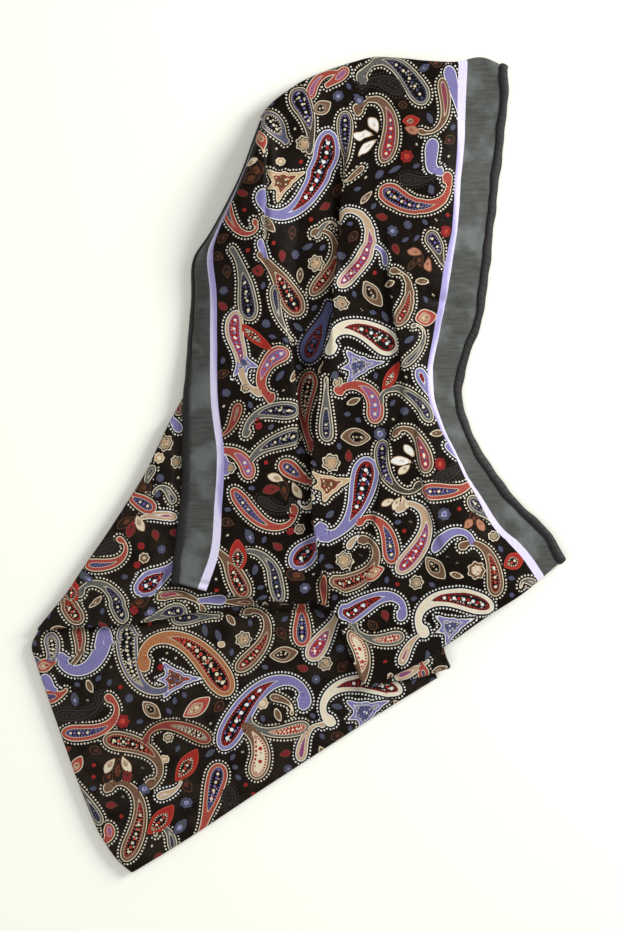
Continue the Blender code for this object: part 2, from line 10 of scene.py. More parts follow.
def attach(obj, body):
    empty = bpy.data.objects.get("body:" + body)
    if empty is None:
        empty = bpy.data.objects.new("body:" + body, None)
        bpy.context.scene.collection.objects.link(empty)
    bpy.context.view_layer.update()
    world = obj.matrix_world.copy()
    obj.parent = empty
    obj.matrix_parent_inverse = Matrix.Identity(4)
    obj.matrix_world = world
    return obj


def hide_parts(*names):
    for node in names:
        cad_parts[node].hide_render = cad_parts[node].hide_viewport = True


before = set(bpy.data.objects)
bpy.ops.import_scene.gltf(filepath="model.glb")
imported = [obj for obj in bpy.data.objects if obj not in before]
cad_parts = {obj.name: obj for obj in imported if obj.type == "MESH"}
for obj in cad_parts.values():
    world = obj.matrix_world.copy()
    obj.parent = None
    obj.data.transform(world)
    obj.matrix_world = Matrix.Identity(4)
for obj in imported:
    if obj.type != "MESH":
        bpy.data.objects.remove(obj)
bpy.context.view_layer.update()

bl_info = {
    "name": "Silk cravat",
    "version": (1, 0, 0),
    "blender": (4, 5, 0),
    "location": "3D View > Sidebar > Cravat",
    "description": "Lays a printed silk cravat in its folds on a pale table",
    "category": "Object",
}

MM = 0.001
SMALL = 1e-9  # keeps lengths from being nought where they divide
TINY = 1e-12

# The photograph's frame, and the place on it that the origin of the folds takes
PIXEL = 0.70  # millimetres of cloth to a pixel
FRAME_WIDTH = 621
FRAME_HEIGHT = 931
MIDDLE_PX = (297.0, 465.5)

NOSE_TURN = 0.8 * math.pi  # how far round a soft fold's edge turns
HEM_LAP = 0.8  # how far the hem covers the edge of the sheet
LAYER_GAP = 0.9  # free height kept under a wall that crosses another
WALL = 1.0  # thickness of the solids' walls
HEM_WIDTH = 6.2  # across the rolled hem
HEM_HEIGHT = 2.6
HEM_SWAY = 0.28  # how far the hem wanders from the cloth's edge
HEM_RISE = 0.15  # and how far it sits above the middle of the cloth
TABLE_GAP = 0.15  # the hems' lowest point above the table
BORDER_PART = 0.12  # share of the panel's columns that one border takes

CENTRE = (1.38, 0.02)  # plan place that becomes the origin

# The front's left edge from the lower fold up: place, height, width of border
LEFT_EDGE = (
    # x, y, z, border
    (-83, -81, 10.2, 22),
    (-80.5, -56, 10.2, 27),
    (-77, -28, 10, 25.5),
    (-75.6, 10, 10, 23.5),
    (-75.6, 46, 9.2, 19.5),
    (-74, 84, 6, 17.5),
    (-72, 119, 4.2, 16),
    (-70.5, 147, 3.6, 13),
    (-62, 160, 3.6, 9),
    (-48, 185, 3.8, 8),
    (-37.5, 207, 4.2, 8),
    (-29.5, 229, 5, 8),
    (-24, 243, 6.5, 8),
)

# The front's right edge from the lower fold up
RIGHT_EDGE = (
    # x, y, z, border
    (183, -67.5, 6.2, 20),
    (174, -50, 5.6, 26),
    (159, -36, 4.6, 27),
    (140, -14, 3.8, 21),
    (124.6, 10, 3.6, 16),
    (113.8, 35, 4, 16),
    (111.2, 54, 4.2, 19),
    (116, 77, 4, 23),
    (124, 99, 3.6, 26),
    (130.6, 143, 3.6, 27),
    (135.8, 190, 3.8, 25),
    (140, 228, 4.6, 26),
    (143, 260, 6.2, 29),
    (142.4, 279, 8, 28),
)

# Soft folds that end a stretch, each from its left end to its right end
LOWER_FOLD = (
    # x, y
    (-83, -81),
    (-58, -87.5),
    (-30, -92),
    (-4, -94.5),
    (16, -95),
    (27.5, -103),
    (35, -122),
    (42, -140),
    (49.5, -153.5),
    (66, -146),
    (86, -136),
    (108, -121.5),
    (132, -104.5),
    (157, -88.5),
    (183, -67.5),
)
TOP_FOLD = (
    # x, y
    (-24, 243),
    (-15.5, 252),
    (-6, 259.5),
    (6, 267),
    (20, 273),
    (38, 279),
    (54, 283),
    (70, 282.5),
    (90, 280.5),
    (112, 280),
    (130, 283.5),
    (142.4, 279),
)

# Swells and hollows of the front: place, height, spread along x and y
SWELLS = (
    # x, y, height, x spread, y spread
    (-28, 178, 11, 34, 62),
    (4, 236, 5, 30, 26),
    (92, 196, 4.5, 34, 58),
    (62, 66, 3, 26, 40),
    (-40, 40, 2.5, 22, 52),
    (108, -62, 2.5, 44, 30),
    (2, 84, -3, 12, 36),
    (-12, 232, -5, 9, 14),
)

# Lapped folds of the front: a line of four points, how high it stands on its
# high side, how far that side runs out, and how steep its drop is. A positive
# run lies to the right of the line as it goes up.
LAPS = (
    # points from below to above, height, run, drop
    (((25, 92), (31.5, 140), (34, 178), (35.5, 214)), 7, 30, 3),
    (((14.5, -36), (14, 0), (17.5, 42), (21, 84)), 6, 26, 3),
    (((22, -92), (17.5, -66), (14, -38), (14, -8)), 4, 20, 3),
    (((-2, 14), (-2.5, 42), (-5, 66), (-8, 92)), 5.5, -18, 3),
    (((75.5, 60), (71, 94), (67, 122), (63.5, 152)), 3.5, 18, 3),
    (((-25.5, 150), (-24, 178), (-23, 206), (-22, 232)), 2.5, -14, 2.5),
    (((52, -70), (58, -30), (64, 6), (76, 40)), 2.5, 16, 4),
    (((104, -60), (92, -20), (86, 20), (88, 50)), 2, 14, 4),
)

LAP_STEPS = 24  # steps that a lapped fold's line is read in
LAP_PAST = 0.4  # share of its length that it counts past its ends
LIP_PAST = 1.0  # a lip leans most this far past the fold's line
LIP_WIDTH = 5.0
ROOT_WIDTH = 1.6
LEAN_RISE = 7.0  # height of the fold that leans in full

FRONT_BASE = 12.0  # height of the front's plain parts
FRONT_LOWER_TOP = 12.4  # its height along its lower fold
FRONT_FOLD_TOP = 14.0  # and along its upper fold
UPPER_FROM = 0.93  # share along the front where it starts to rise to that fold
UPPER_RUN = 0.07
LOWER_RUN = 0.06  # share along the front that its lower end takes
LEFT_SLOPE = 1.5  # borders that the left edge takes to rise
RIGHT_SLOPE = 1.8  # and the right edge
EVEN_RIM = 0.08  # share of another stretch that its edge takes
CREASE_RIM = 0.1  # share of the front where the creases fade out at a border
PROBE = 0.01  # share of a stretch over which its rim's direction is measured
TOP_NOSE = 2.7  # radius of the upper fold
LOWER_NOSE = 1.7  # radius of the other folds
EVEN_NOSE = (LOWER_NOSE, LOWER_NOSE)

# The side stretch: its folded left edge from below up, and its lower tuck
SIDE_FOLD = (
    # x, y
    (-180.5, -115),
    (-172, -104.5),
    (-161, -91),
    (-148, -71.5),
    (-134, -51.5),
    (-120, -30),
    (-106, -7.5),
    (-92.5, 20.5),
    (-80, 45),
    (-72, 58),
)
TUCK = (
    # x, y
    (-180.5, -115),
    (-166, -112.6),
    (-138, -111.6),
    (-116, -110),
    (-95, -106.5),
    (-68, -101),
    (-46, -97.6),
    (-24, -96.4),
    (2, -95.6),
    (30, -95),
)
SIDE_HIDDEN = ((30, -95), (10, -50), (-20, 10), (-42, 50))
SIDE_HIDDEN_TOP = ((-72, 58), (-62, 56), (-52, 53), (-42, 50))
SIDE_TOP = 8.4

# The lower stretch: left edge from the tip up, lower edge from the tip right
LOWER_LEFT = (
    # x, y
    (-116, -284.5),
    (-124.5, -277),
    (-135, -262.5),
    (-149.5, -230),
    (-163.5, -191.5),
    (-174, -161.5),
    (-182.3, -137),
    (-185, -127.5),
    (-181, -117),
)
LOWER_RIGHT = (
    # x, y
    (-116, -284.5),
    (-82, -263.8),
    (-26, -226.8),
    (30, -190.4),
    (64, -168.6),
    (98, -148),
)
LOWER_HIDDEN = ((98, -148), (92, -130), (82, -112), (70, -96))
LOWER_HIDDEN_TOP = ((-181, -117), (-120, -98), (-30, -88), (70, -96))
LOWER_TOP = 5.4
LOWER_SWELLS = (
    # x, y, height, x spread, y spread
    (-60, -190, 1.6, 60, 26),
    (10, -140, 1.4, 30, 24),
    (-130, -160, 1.2, 24, 34),
    (-110, -240, 0.8, 16, 20),
)
SIDE_SWELLS = (
    # x, y, height, x spread, y spread
    (-120, -80, 1, 20, 26),
    (-96, -20, 0.9, 14, 30),
    (-60, -96, -0.6, 30, 5),
)

# The small folded layer under the front's lower lobe
CORNER_TIP = ((48, -154.5), (66, -150.6), (86, -147), (106, -141))
CORNER_END = ((106, -141), (103, -134), (101, -126), (98, -112))
CORNER_BACK = ((48, -154.5), (42, -136), (40, -118), (42, -98))
CORNER_TOP = ((42, -98), (60, -100), (80, -104), (98, -112))
CORNER_HEIGHT = 8.6

# The hidden layers: outline with the height left free under the folds above
PILE_EDGE = (
    # x, y, height of the lobes, inset of the top
    (-66, 142, 2, 6),
    (-56, 160, 2.2, 7),
    (-42, 187, 2.6, 7),
    (-31, 210, 3.4, 7),
    (-21, 238, 6.6, 8),
    (-5, 258, 8, 8),
    (20, 271.5, 8, 8),
    (54, 281, 8, 8),
    (90, 279, 8, 8),
    (124, 278, 5, 8),
    (133, 262, 2.4, 6),
    (128, 226, 2, 6),
    (122, 180, 1.9, 6),
    (118, 140, 1.8, 6),
    (110, 100, 1.8, 6),
    (101, 74, 1.9, 6),
    (97, 52, 2, 6),
    (101, 32, 1.9, 6),
    (112, 4, 1.8, 6),
    (128, -22, 1.9, 6),
    (148, -46, 2.2, 6),
    (164, -62, 2.6, 6),
    (168, -75, 4.4, 7),
    (152, -88.5, 6.6, 7),
    (130, -103, 7, 7),
    (108, -119, 5.6, 7),
    (101, -136, 3.4, 7),
    (90, -150, 2, 7),
    (64, -166, 2, 7),
    (30, -188, 2, 7),
    (-26, -224.5, 2, 7),
    (-82, -261.5, 2, 7),
    (-114, -282, 2, 7),
    (-123, -275, 2, 7),
    (-133.5, -261, 2, 7),
    (-148, -229, 2, 7),
    (-162, -191, 2, 7),
    (-172.5, -161, 2, 7),
    (-181, -137, 2, 7),
    (-182, -126, 2, 7),
    (-176, -110, 4.4, 7),
    (-159.5, -90, 4.8, 7),
    (-146.5, -70.5, 4.8, 7),
    (-118.5, -29, 4.8, 7),
    (-104.5, -6.5, 4.8, 7),
    (-91, 21, 4.8, 7),
    (-78, 45, 4.4, 7),
    (-71, 62, 3, 6),
    (-68, 100, 2, 6),
)


def seen(red, green, blue):
    """A colour as it looks, from its parts out of 255."""
    return (red / 255.0, green / 255.0, blue / 255.0)


# Colours of the print
GROUND = seen(15, 8, 3)
CREAM = seen(208, 196, 170)
WHITE = seen(216, 216, 210)
LILAC = seen(102, 96, 150)
DUSK = seen(70, 72, 102)
SLATE = seen(70, 74, 75)
RED = seen(144, 36, 30)
WINE = seen(112, 32, 38)
CORAL = seen(174, 66, 50)
BROWN = seen(88, 54, 34)
AMBER = seen(146, 86, 44)
BEIGE = seen(168, 140, 108)
INK = seen(15, 12, 14)
GHOST = seen(58, 54, 51)
SHADE = seen(27, 23, 22)
FAWN = seen(168, 116, 92)
ROSEWOOD = seen(150, 98, 76)

# Colours of the ground's painted sheen and specks, the border, the hem and the table
# painted sheen: a lighter ground tone standing in for the silk's sheen; the hem's slubs take it too
SHEEN_AND_SLUB = seen(23, 16, 10)
# the specks' colour, also used for the patches of painted sheen on the stretches under the front
SPECK_AND_SHEEN = seen(38, 31, 24)
BORDER_GREY = seen(63, 64, 61)
BORDER_SLUB = seen(97, 101, 98)
LINE_LILAC = seen(156, 148, 196)
LINE_LIGHT = seen(208, 202, 226)
HEM_BLACK = seen(20, 19, 19)
TABLE_PALE = seen(252, 252, 242)

# What a motif is coloured with. band is the width of its coloured rim in
# millimetres, radius that of the flowers down its middle and pitch their
# spacing, and dots is 1 where a row of dots runs round it.
Style = namedtuple("Style", "line fill core bead band radius pitch dots")
STYLES = {
    # line, fill, core, bead, band, radius, pitch, dots
    "lilac": Style(WHITE, LILAC, INK, RED, 2.2, 1.5, 3.4, 1),
    "lilac_plain": Style(WHITE, LILAC, LILAC, WHITE, 5, 0.5, 3, 1),
    "dusk": Style(CREAM, DUSK, INK, CREAM, 1.5, 1.1, 3, 1),
    # painted shade: a darker copy of the lilac style, for a lilac paisley that lies in a fold's
    # shadow
    "plum": Style(DUSK, DUSK, INK, WINE, 2.2, 1.5, 3.4, 1),
    "red": Style(CREAM, RED, INK, LILAC, 2.1, 1.2, 3, 1),
    "wine": Style(BEIGE, WINE, INK, CREAM, 1.8, 1.1, 3.4, 1),
    "rust": Style(CREAM, BROWN, RED, DUSK, 1.6, 1.2, 3, 1),
    "cream": Style(WHITE, BEIGE, RED, LILAC, 1.7, 1.2, 3.2, 1),
    "cream_beads": Style(WHITE, CREAM, SHADE, RED, 1.8, 1.4, 3.4, 1),
    "ash": Style(CREAM, SLATE, INK, DUSK, 1.4, 1.1, 3.2, 1),
    "ash_red": Style(CREAM, SLATE, RED, CREAM, 1.4, 1, 3, 1),
    "brown": Style(CREAM, BROWN, INK, CORAL, 1.7, 1.2, 3.4, 1),
    "amber": Style(CREAM, AMBER, INK, CORAL, 2.6, 1.5, 3.6, 1),
    "navy": Style(CREAM, SHADE, INK, LILAC, 1.1, 1.1, 3.2, 1),
    "kidney": Style(CREAM, RED, LILAC, CORAL, 1.5, 1.3, 3.2, 1),
    "kidney_cream": Style(CREAM, BROWN, CREAM, RED, 1.2, 1.6, 4.6, 1),
    "star_lilac": Style(WHITE, LILAC, DUSK, CREAM, 1.5, 0.8, 3, 1),
    "star_cream": Style(CREAM, BEIGE, BROWN, RED, 1.3, 1, 3.4, 1),
    "star_brown": Style(WHITE, LILAC, BROWN, CORAL, 1.3, 1, 3.2, 1),
    "leaf": Style(CREAM, BROWN, INK, BEIGE, 1.2, 0.7, 2.6, 0),
    "leaf_red": Style(CREAM, RED, BEIGE, WINE, 1.4, 0.8, 2.6, 0),
    "flame": Style(CORAL, RED, SHADE, CREAM, 1.1, 1, 2.4, 0),
    "petal": Style(BROWN, CREAM, BEIGE, BEIGE, 1, 0.4, 2, 0),
    "petal_white": Style(BEIGE, WHITE, CREAM, CREAM, 1.6, 0.3, 2, 0),
    "petal_coral": Style(BROWN, FAWN, ROSEWOOD, BROWN, 1.2, 0.3, 2, 0),
    "petal_brown": Style(BROWN, SHADE, BROWN, RED, 1, 0.4, 2, 0),
    "petal_red": Style(BROWN, WINE, SHADE, RED, 1.4, 0.4, 2, 0),
    "heart": Style(RED, WINE, CORAL, RED, 1, 0.5, 2, 0),
    "blossom": Style(DUSK, SLATE, LILAC, WHITE, 0.8, 0.6, 2, 0),
    "rose": Style(CREAM, BROWN, CREAM, CORAL, 1.4, 1, 3, 0),
    "rose_cream": Style(CREAM, SHADE, BEIGE, SHADE, 0.8, 0.8, 2.6, 0),
    "ghost": Style(GHOST, SHADE, SHADE, GHOST, 1.4, 0.7, 3, 0.7),
    "curl": Style(CREAM, BEIGE, CREAM, CREAM, 1, 0.4, 2, 0),
}

# Layers that carry a style's tones to the material. The fourth part of each
# carries one of its measures, as a share of the most that it may be.
MOST_BAND = 10.0
MOST_BEAD = 5.0
MOST_PITCH = 10.0
TONES = (
    # layer, tone, measure, most
    ("tone_line", "line", "band", MOST_BAND),
    ("tone_fill", "fill", "dots", 1.0),
    ("tone_core", "core", "radius", MOST_BEAD),
    ("tone_bead", "bead", "pitch", MOST_PITCH),
)

# Motifs of the print on each stretch. A paisley or curl has
# its head's place on the photograph, its length and half width in pixels, the
# way that it leaves its head and how far it bends by its tip, in degrees.
FRONT_PAISLEYS = (
    # style, x, y, length, half width, turn, bend
    ("ash", 420, 96, 99, 11, 118, 195),
    ("ghost", 397, 89, 50, 8, 150, 70),
    ("rust", 442, 83, 76, 6, -76, -170),
    ("lilac_plain", 449, 72, 52, 6.5, -76, 10),
    ("rust", 385, 157, 100, 9, 72, 225),
    ("navy", 345, 119, 78, 8.5, -92, 20),
    ("brown", 359, 172, 22, 4, 235, -60),
    ("red", 387, 193, 104, 10.5, -34, 225),
    ("ghost", 404, 180, 44, 6, -15, 110),
    ("lilac", 328, 142, 146, 13, -101, -225),
    ("navy", 298, 97, 74, 10.5, -66, -60),
    ("kidney", 311, 96, 50, 5.5, 96, -125),
    ("kidney", 344, 73, 30, 6, 228, -20),
    ("dusk", 270, 122, 40, 11, -50, -10),
    ("red", 262, 141, 20, 4.5, -82, 10),
    ("red", 228, 208, 64, 6, -80, 260),
    ("brown", 315, 290, 92, 7.5, 46, 205),
    ("cream", 343, 283, 118, 8.5, 46, 240),
    ("ash", 317, 237, 32, 3.5, 66, -150),
    ("ash", 264, 221, 26, 3.5, -60, -80),
    ("lilac_plain", 262, 245, 30, 4.5, -60, -20),
    ("lilac_plain", 432, 146, 46, 7, -108, 150),
    ("navy", 431, 238, 46, 8, -56, 0),
    ("brown", 295, 306, 78, 12, 120, 25),
    ("ash", 249, 313, 80, 10, 96, 50),
    ("ash", 275, 290, 62, 5.5, -84, 50),
    ("brown", 398, 322, 74, 7, 48, 175),
    ("lilac_plain", 384, 264, 26, 4, 95, 90),
    # painted shade: this lilac paisley takes the darker copy of its style, for the shadow of the
    # fold's valley
    ("plum", 309, 352, 66, 11.5, 64, 6),
    ("cream", 236, 318, 98, 9, -108, 120),
    ("cream_beads", 388, 345, 94, 12.5, 140, 190),
    ("kidney", 283, 354, 70, 8.5, 175, 165),
    ("wine", 309, 380, 84, 10, -105, 70),
    ("ash", 326, 436, 66, 7, 88, 10),
    ("ash", 291, 411, 68, 9, 172, 150),
    ("ash", 296, 436, 74, 9, 192, 120),
    ("wine", 238, 408, 44, 5, -95, -110),
    ("kidney", 249, 473, 56, 7.5, 92, 110),
    ("lilac_plain", 226, 470, 22, 6, 100, 20),
    ("red", 286, 466, 46, 8.5, -37, 0),
    ("red", 236, 494, 96, 8, -60, 210),
    ("ghost", 262, 500, 44, 5, -40, 170),
    ("cream", 312, 497, 32, 3.5, 225, -180),
    ("ash", 404, 365, 62, 4.5, 38, 205),
    ("ash", 429, 417, 78, 7, 120, 195),
    ("lilac", 420, 374, 36, 6.5, -72, 10),
    ("kidney", 374, 416, 72, 8.5, 50, 190),
    ("navy", 382, 447, 82, 8, -94, 195),
    ("rust", 425, 466, 68, 8, 86, 195),
    ("red", 428, 491, 72, 8.5, -6, 125),
    ("ghost", 441, 477, 44, 6, 20, 100),
    ("lilac_plain", 448, 446, 26, 4, -55, 30),
    ("ash", 474, 502, 34, 8, -52, 20),
    ("lilac", 366, 468, 108, 13, -106, -80),
    ("red", 391, 556, 74, 8.5, 90, 185),
    ("cream", 402, 567, 104, 9.5, 43, 230),
    ("lilac_plain", 435, 548, 58, 5.5, 66, -190),
    ("brown", 495, 589, 80, 8.5, 88, 170),
    ("cream", 349, 546, 26, 3.5, 66, -140),
    ("brown", 338, 581, 92, 9, 16, 220),
    ("lilac", 300, 559, 56, 12.5, 42, 20),
    ("wine", 322, 580, 40, 4.5, -85, -20),
    ("ash", 279, 597, 90, 7.5, 100, 185),
    ("brown", 243, 591, 72, 10, 118, 40),
    ("lilac", 346, 613, 91, 10, 44, -225),
    ("kidney_cream", 355, 638, 58, 9.5, -42, -85),
    ("ash_red", 398, 637, 60, 7, 192, -110),
    ("cream", 402, 661, 46, 5, 70, -95),
    ("cream_beads", 484, 605, 108, 11, 158, 205),
    ("ash", 534, 583, 24, 4, 150, 200),
)
SIDE_PAISLEYS = (
    # style, x, y, length, half width, turn, bend
    ("red", 149, 507, 50, 8.5, 150, 10),
    ("cream", 173, 517, 56, 5, 170, 115),
    ("ash", 172, 500, 34, 5, 110, 210),
    ("red", 90, 565, 66, 6.5, -6, 215),
    ("lilac", 145, 586, 58, 12, 30, 20),
    ("ash", 122, 617, 80, 8, 110, 190),
    ("rust", 162, 596, 58, 6, 14, -115),
    ("ash", 180, 611, 46, 8, 196, 10),
    ("ghost", 112, 545, 40, 5, 205, -50),
    ("ash", 152, 469, 30, 4.5, 240, 60),
    ("brown", 76, 617, 56, 9, 128, 30),
    ("lilac_plain", 178, 428, 34, 5, 130, 20),
    ("rust", 178, 410, 28, 6, 110, 30),
    ("lilac_plain", 222, 600, 30, 5, 180, 10),
    ("brown", 250, 603, 40, 5, 176, 10),
)
LOWER_PAISLEYS = (
    # style, x, y, length, half width, turn, bend
    ("dusk", 50, 640, 50, 8, -70, -240),
    ("brown", 77, 630, 56, 6.5, -78, -130),
    ("lilac_plain", 104, 634, 86, 8.5, -86, -220),
    ("dusk", 126, 633, 110, 11, -92, 200),
    ("amber", 223, 685, 140, 14, 119, 215),
    ("brown", 241, 667, 92, 8, 38, 210),
    ("red", 302, 639, 60, 9.5, 91, 0),
    ("cream", 314, 653, 60, 10, 56, 10),
    ("lilac", 226, 741, 142, 12.5, 66, -228),
    ("cream_beads", 394, 690, 116, 10, 162, 205),
    ("ash_red", 303, 728, 74, 7.5, 197, -120),
    ("brown", 273, 698, 34, 4, -10, -130),
    ("kidney_cream", 257, 771, 68, 10, 48, 118),
    ("cream", 301, 757, 52, 6, 85, -125),
    ("red", 68, 734, 88, 8.5, -4, 205),
    ("brown", 111, 741, 96, 10, -4, -205),
    ("wine", 205, 739, 82, 7.5, 150, 145),
    ("red", 218, 773, 86, 10.5, -104, -10),
    ("ghost", 228, 794, 36, 7, -84, 30),
    ("brown", 127, 855, 112, 9.5, 62, 205),
    ("kidney", 108, 830, 24, 6, -40, -130),
    ("ash", 172, 848, 42, 5, 90, 255),
    ("ghost", 60, 716, 60, 6, -5, 130),
    ("cream", 160, 797, 34, 4.5, 15, 90),
    ("ash", 178, 619, 50, 8, 4, -5),
    ("lilac_plain", 44, 680, 24, 6, -70, 60),
    ("red", 46, 698, 30, 7, 4, 60),
    ("ash", 98, 822, 56, 6, 118, 20),
)
CORNER_PAISLEYS = (
    # style, x, y, length, half width, turn, bend
    ("cream", 400, 676, 40, 6, 20, 30),
    ("red", 424, 676, 24, 6, 100, 10),
)

# Leaves, petals, stars and rosettes: x and y are the middle
FRONT_SMALL = (
    # kind, style, x, y, length, half width, turn
    ("petal", "petal_white", 374, 126, 22, 5, 118),
    ("petal", "petal_white", 363, 136, 24, 5, 172),
    ("petal", "petal_white", 367, 148, 24, 5, 215),
    ("leaf", "flame", 411, 122, 18, 6, 10),
    ("petal", "petal_coral", 411, 131, 18, 5, -12),
    ("petal", "petal_brown", 402, 105, 11, 4, 0),
    ("petal", "petal_brown", 449, 141, 14, 5, 40),
    ("petal", "petal_brown", 436, 64, 14, 5, 0),
    ("leaf", "blossom", 424, 69, 13, 3.5, 30),
    ("leaf", "leaf", 322, 109, 22, 7.5, 30),
    ("rose", "blossom", 359, 101, 12, 6, 0),
    ("rose", "curl", 281, 164, 11, 5, 0),
    ("rose", "heart", 446, 232, 12, 6.5, 0),
    ("star", "star_cream", 284, 183, 40, 17, 22),
    ("rose", "rose_cream", 304, 146, 18, 9, 0),
    ("rose", "rose_cream", 316, 264, 18, 9, 0),
    ("rose", "heart", 406, 158, 14, 7, 0),
    ("petal", "petal", 251, 165, 19, 4.5, 25),
    ("petal", "petal_brown", 258, 173, 24, 6, 70),
    ("petal", "petal_brown", 252, 181, 22, 6, 30),
    ("petal", "petal_coral", 415, 253, 20, 4.5, 165),
    ("petal", "petal_coral", 428, 265, 18, 4.5, -78),
    ("petal", "petal_brown", 419, 261, 18, 5, 130),
    ("petal", "petal_brown", 412, 265, 14, 4, -120),
    ("rose", "rose_cream", 341, 304, 17, 8, 0),
    ("leaf", "leaf", 372, 295, 30, 8.5, -62),
    ("leaf", "flame", 256, 338, 36, 7, -52),
    ("star", "star_lilac", 243, 362, 34, 12, 112),
    ("star", "star_lilac", 360, 366, 42, 16, 8),
    ("leaf", "flame", 391, 377, 34, 6, 62),
    ("leaf", "leaf", 355, 437, 30, 9, 178),
    ("leaf", "leaf_red", 426, 318, 24, 8.5, 10),
    ("rose", "blossom", 335, 376, 9, 4.5, 0),
    ("rose", "rose_cream", 331, 462, 20, 10, 0),
    ("star", "star_cream", 330, 484, 42, 15, 16),
    ("petal", "petal_white", 401, 461, 23, 5, 175),
    ("petal", "petal_white", 409, 451, 17, 4.5, 125),
    ("petal", "petal", 404, 469, 19, 4, 215),
    ("petal", "petal", 277, 478, 22, 5, 160),
    ("petal", "petal_brown", 284, 489, 24, 5, 100),
    ("petal", "petal", 296, 490, 22, 5, -65),
    ("petal", "petal_red", 272, 489, 22, 5, 190),
    ("rose", "heart", 440, 464, 12, 7, 0),
    ("petal", "petal", 388, 502, 18, 4, 200),
    ("petal", "petal", 396, 503, 18, 4, 240),
    ("petal", "petal", 404, 502, 18, 4, -70),
    ("rose", "rose", 476, 570, 20, 10, 0),
    ("rose", "rose_cream", 345, 560, 20, 10, 0),
    ("rose", "rose_cream", 416, 582, 16, 8, 0),
    ("leaf", "leaf", 435, 568, 30, 8, -48),
    ("leaf", "leaf_red", 370, 573, 30, 8, 200),
    ("leaf", "flame", 238, 556, 36, 9, 90),
    ("rose", "rose_cream", 300, 529, 12, 6, 0),
    ("rose", "heart", 293, 516, 9, 4, 0),
    ("rose", "heart", 291, 531, 9, 4, 0),
    ("rose", "heart", 256, 418, 9, 4, 0),
    ("rose", "heart", 259, 426, 8, 4, 0),
    ("petal", "petal_coral", 468, 524, 16, 4.5, 50),
    ("petal", "petal_coral", 480, 524, 18, 4.5, -62),
    ("petal", "petal_brown", 474, 518, 16, 5, 90),
    ("leaf", "flame", 514, 561, 24, 8.5, 30),
    ("rose", "rose_cream", 494, 536, 13, 6, 0),
    ("star", "star_lilac", 452, 626, 38, 15, 20),
    ("rose", "blossom", 338, 97, 12, 6, 0),
    ("rose", "blossom", 392, 232, 12, 6, 0),
    ("rose", "blossom", 380, 434, 14, 7, 0),
    ("rose", "blossom", 444, 514, 14, 7, 0),
    ("rose", "rose_cream", 246, 388, 12, 6, 0),
    ("leaf", "leaf", 268, 226, 24, 5, -50),
    ("leaf", "leaf_red", 262, 142, 22, 6, -80),
    ("petal", "petal_red", 258, 272, 14, 6, 0),
    ("rose", "blossom", 305, 588, 12, 6, 0),
    ("leaf", "blossom", 250, 536, 18, 4, 120),
    ("rose", "rose_cream", 338, 383, 12, 6, 0),
    ("rose", "rose_cream", 230, 468, 14, 7, 0),
    ("petal", "petal_brown", 296, 575, 24, 6, 160),
)
SIDE_SMALL = (
    # kind, style, x, y, length, half width, turn
    ("rose", "rose_cream", 165, 443, 18, 9, 0),
    ("rose", "curl", 159, 458, 12, 6, 0),
    ("rose", "rose_cream", 176, 462, 14, 7, 0),
    ("rose", "blossom", 160, 478, 9, 4.5, 0),
    ("rose", "blossom", 157, 494, 8, 4, 0),
    ("petal", "petal_brown", 126, 522, 24, 5, 210),
    ("petal", "petal_red", 131, 528, 22, 5, 250),
    ("petal", "petal", 139, 523, 22, 5, -65),
    ("leaf", "blossom", 87, 578, 20, 4.5, 130),
    ("rose", "rose", 144, 558, 12, 6, 0),
    ("rose", "heart", 141, 546, 8, 4, 0),
    ("rose", "heart", 137, 565, 8, 4, 0),
    ("rose", "heart", 134, 610, 9, 5, 0),
    ("leaf", "flame", 71, 592, 28, 9, 90),
    ("petal", "petal_brown", 144, 487, 16, 6, 20),
    ("rose", "blossom", 150, 612, 14, 6, 0),
    ("petal", "petal_brown", 140, 602, 20, 6, 20),
    ("leaf", "leaf", 58, 634, 20, 5, 10),
)
LOWER_SMALL = (
    # kind, style, x, y, length, half width, turn
    ("star", "star_brown", 176, 680, 42, 17, 2),
    ("rose", "rose_cream", 243, 640, 18, 9, 0),
    ("leaf", "leaf", 284, 655, 30, 8, 8),
    ("rose", "rose_cream", 325, 664, 16, 8, 0),
    ("star", "star_lilac", 366, 712, 42, 17, 24),
    ("rose", "heart", 122, 722, 15, 7.5, 0),
    ("petal", "petal", 109, 766, 22, 5, 235),
    ("petal", "petal", 125, 765, 22, 5, -62),
    ("petal", "petal_brown", 117, 773, 30, 6, 268),
    ("petal", "petal_red", 127, 776, 20, 5, -100),
    ("petal", "petal_brown", 108, 778, 18, 5, 240),
    ("leaf", "flame", 187, 766, 40, 9, 56),
    ("leaf", "flame", 161, 821, 40, 9, 48),
    ("leaf", "leaf", 151, 711, 25, 7, -42),
    ("leaf", "leaf_red", 197, 708, 34, 8, 36),
    ("petal", "petal_brown", 186, 786, 18, 5, -60),
    ("rose", "blossom", 186, 804, 14, 6, 0),
    ("leaf", "blossom", 180, 828, 20, 5, 50),
    ("leaf", "leaf_red", 46, 666, 24, 7, 20),
    ("leaf", "blossom", 74, 700, 16, 4, 100),
    ("leaf", "leaf_red", 76, 766, 22, 6, 60),
    ("rose", "rose_cream", 168, 738, 12, 6, 0),
    ("rose", "curl", 164, 760, 12, 5, 0),
    ("rose", "blossom", 288, 770, 10, 5, 0),
    ("rose", "curl", 262, 704, 14, 7, 0),
    ("rose", "curl", 221, 645, 9, 4, 0),
    ("leaf", "blossom", 218, 636, 14, 3, 110),
    ("rose", "heart", 160, 668, 7, 3.5, 0),
    ("rose", "blossom", 144, 790, 14, 6, 0),
    ("rose", "blossom", 316, 680, 10, 5, 0),
)
CORNER_SMALL = (
    # kind, style, x, y, length, half width, turn
    ("leaf", "leaf", 440, 670, 18, 4, 20),
)

# A palmette's rim: how far it reaches at an angle from its tail, in degrees
PALMETTE = (
    (0, 1.3),
    (9, 0.8),
    (30, 0.46),
    (88, 0.44),
    (112, 0.62),
    (128, 1.1),
    (146, 0.62),
    (162, 0.58),
    (172, 0.72),
    (180, 1),
)

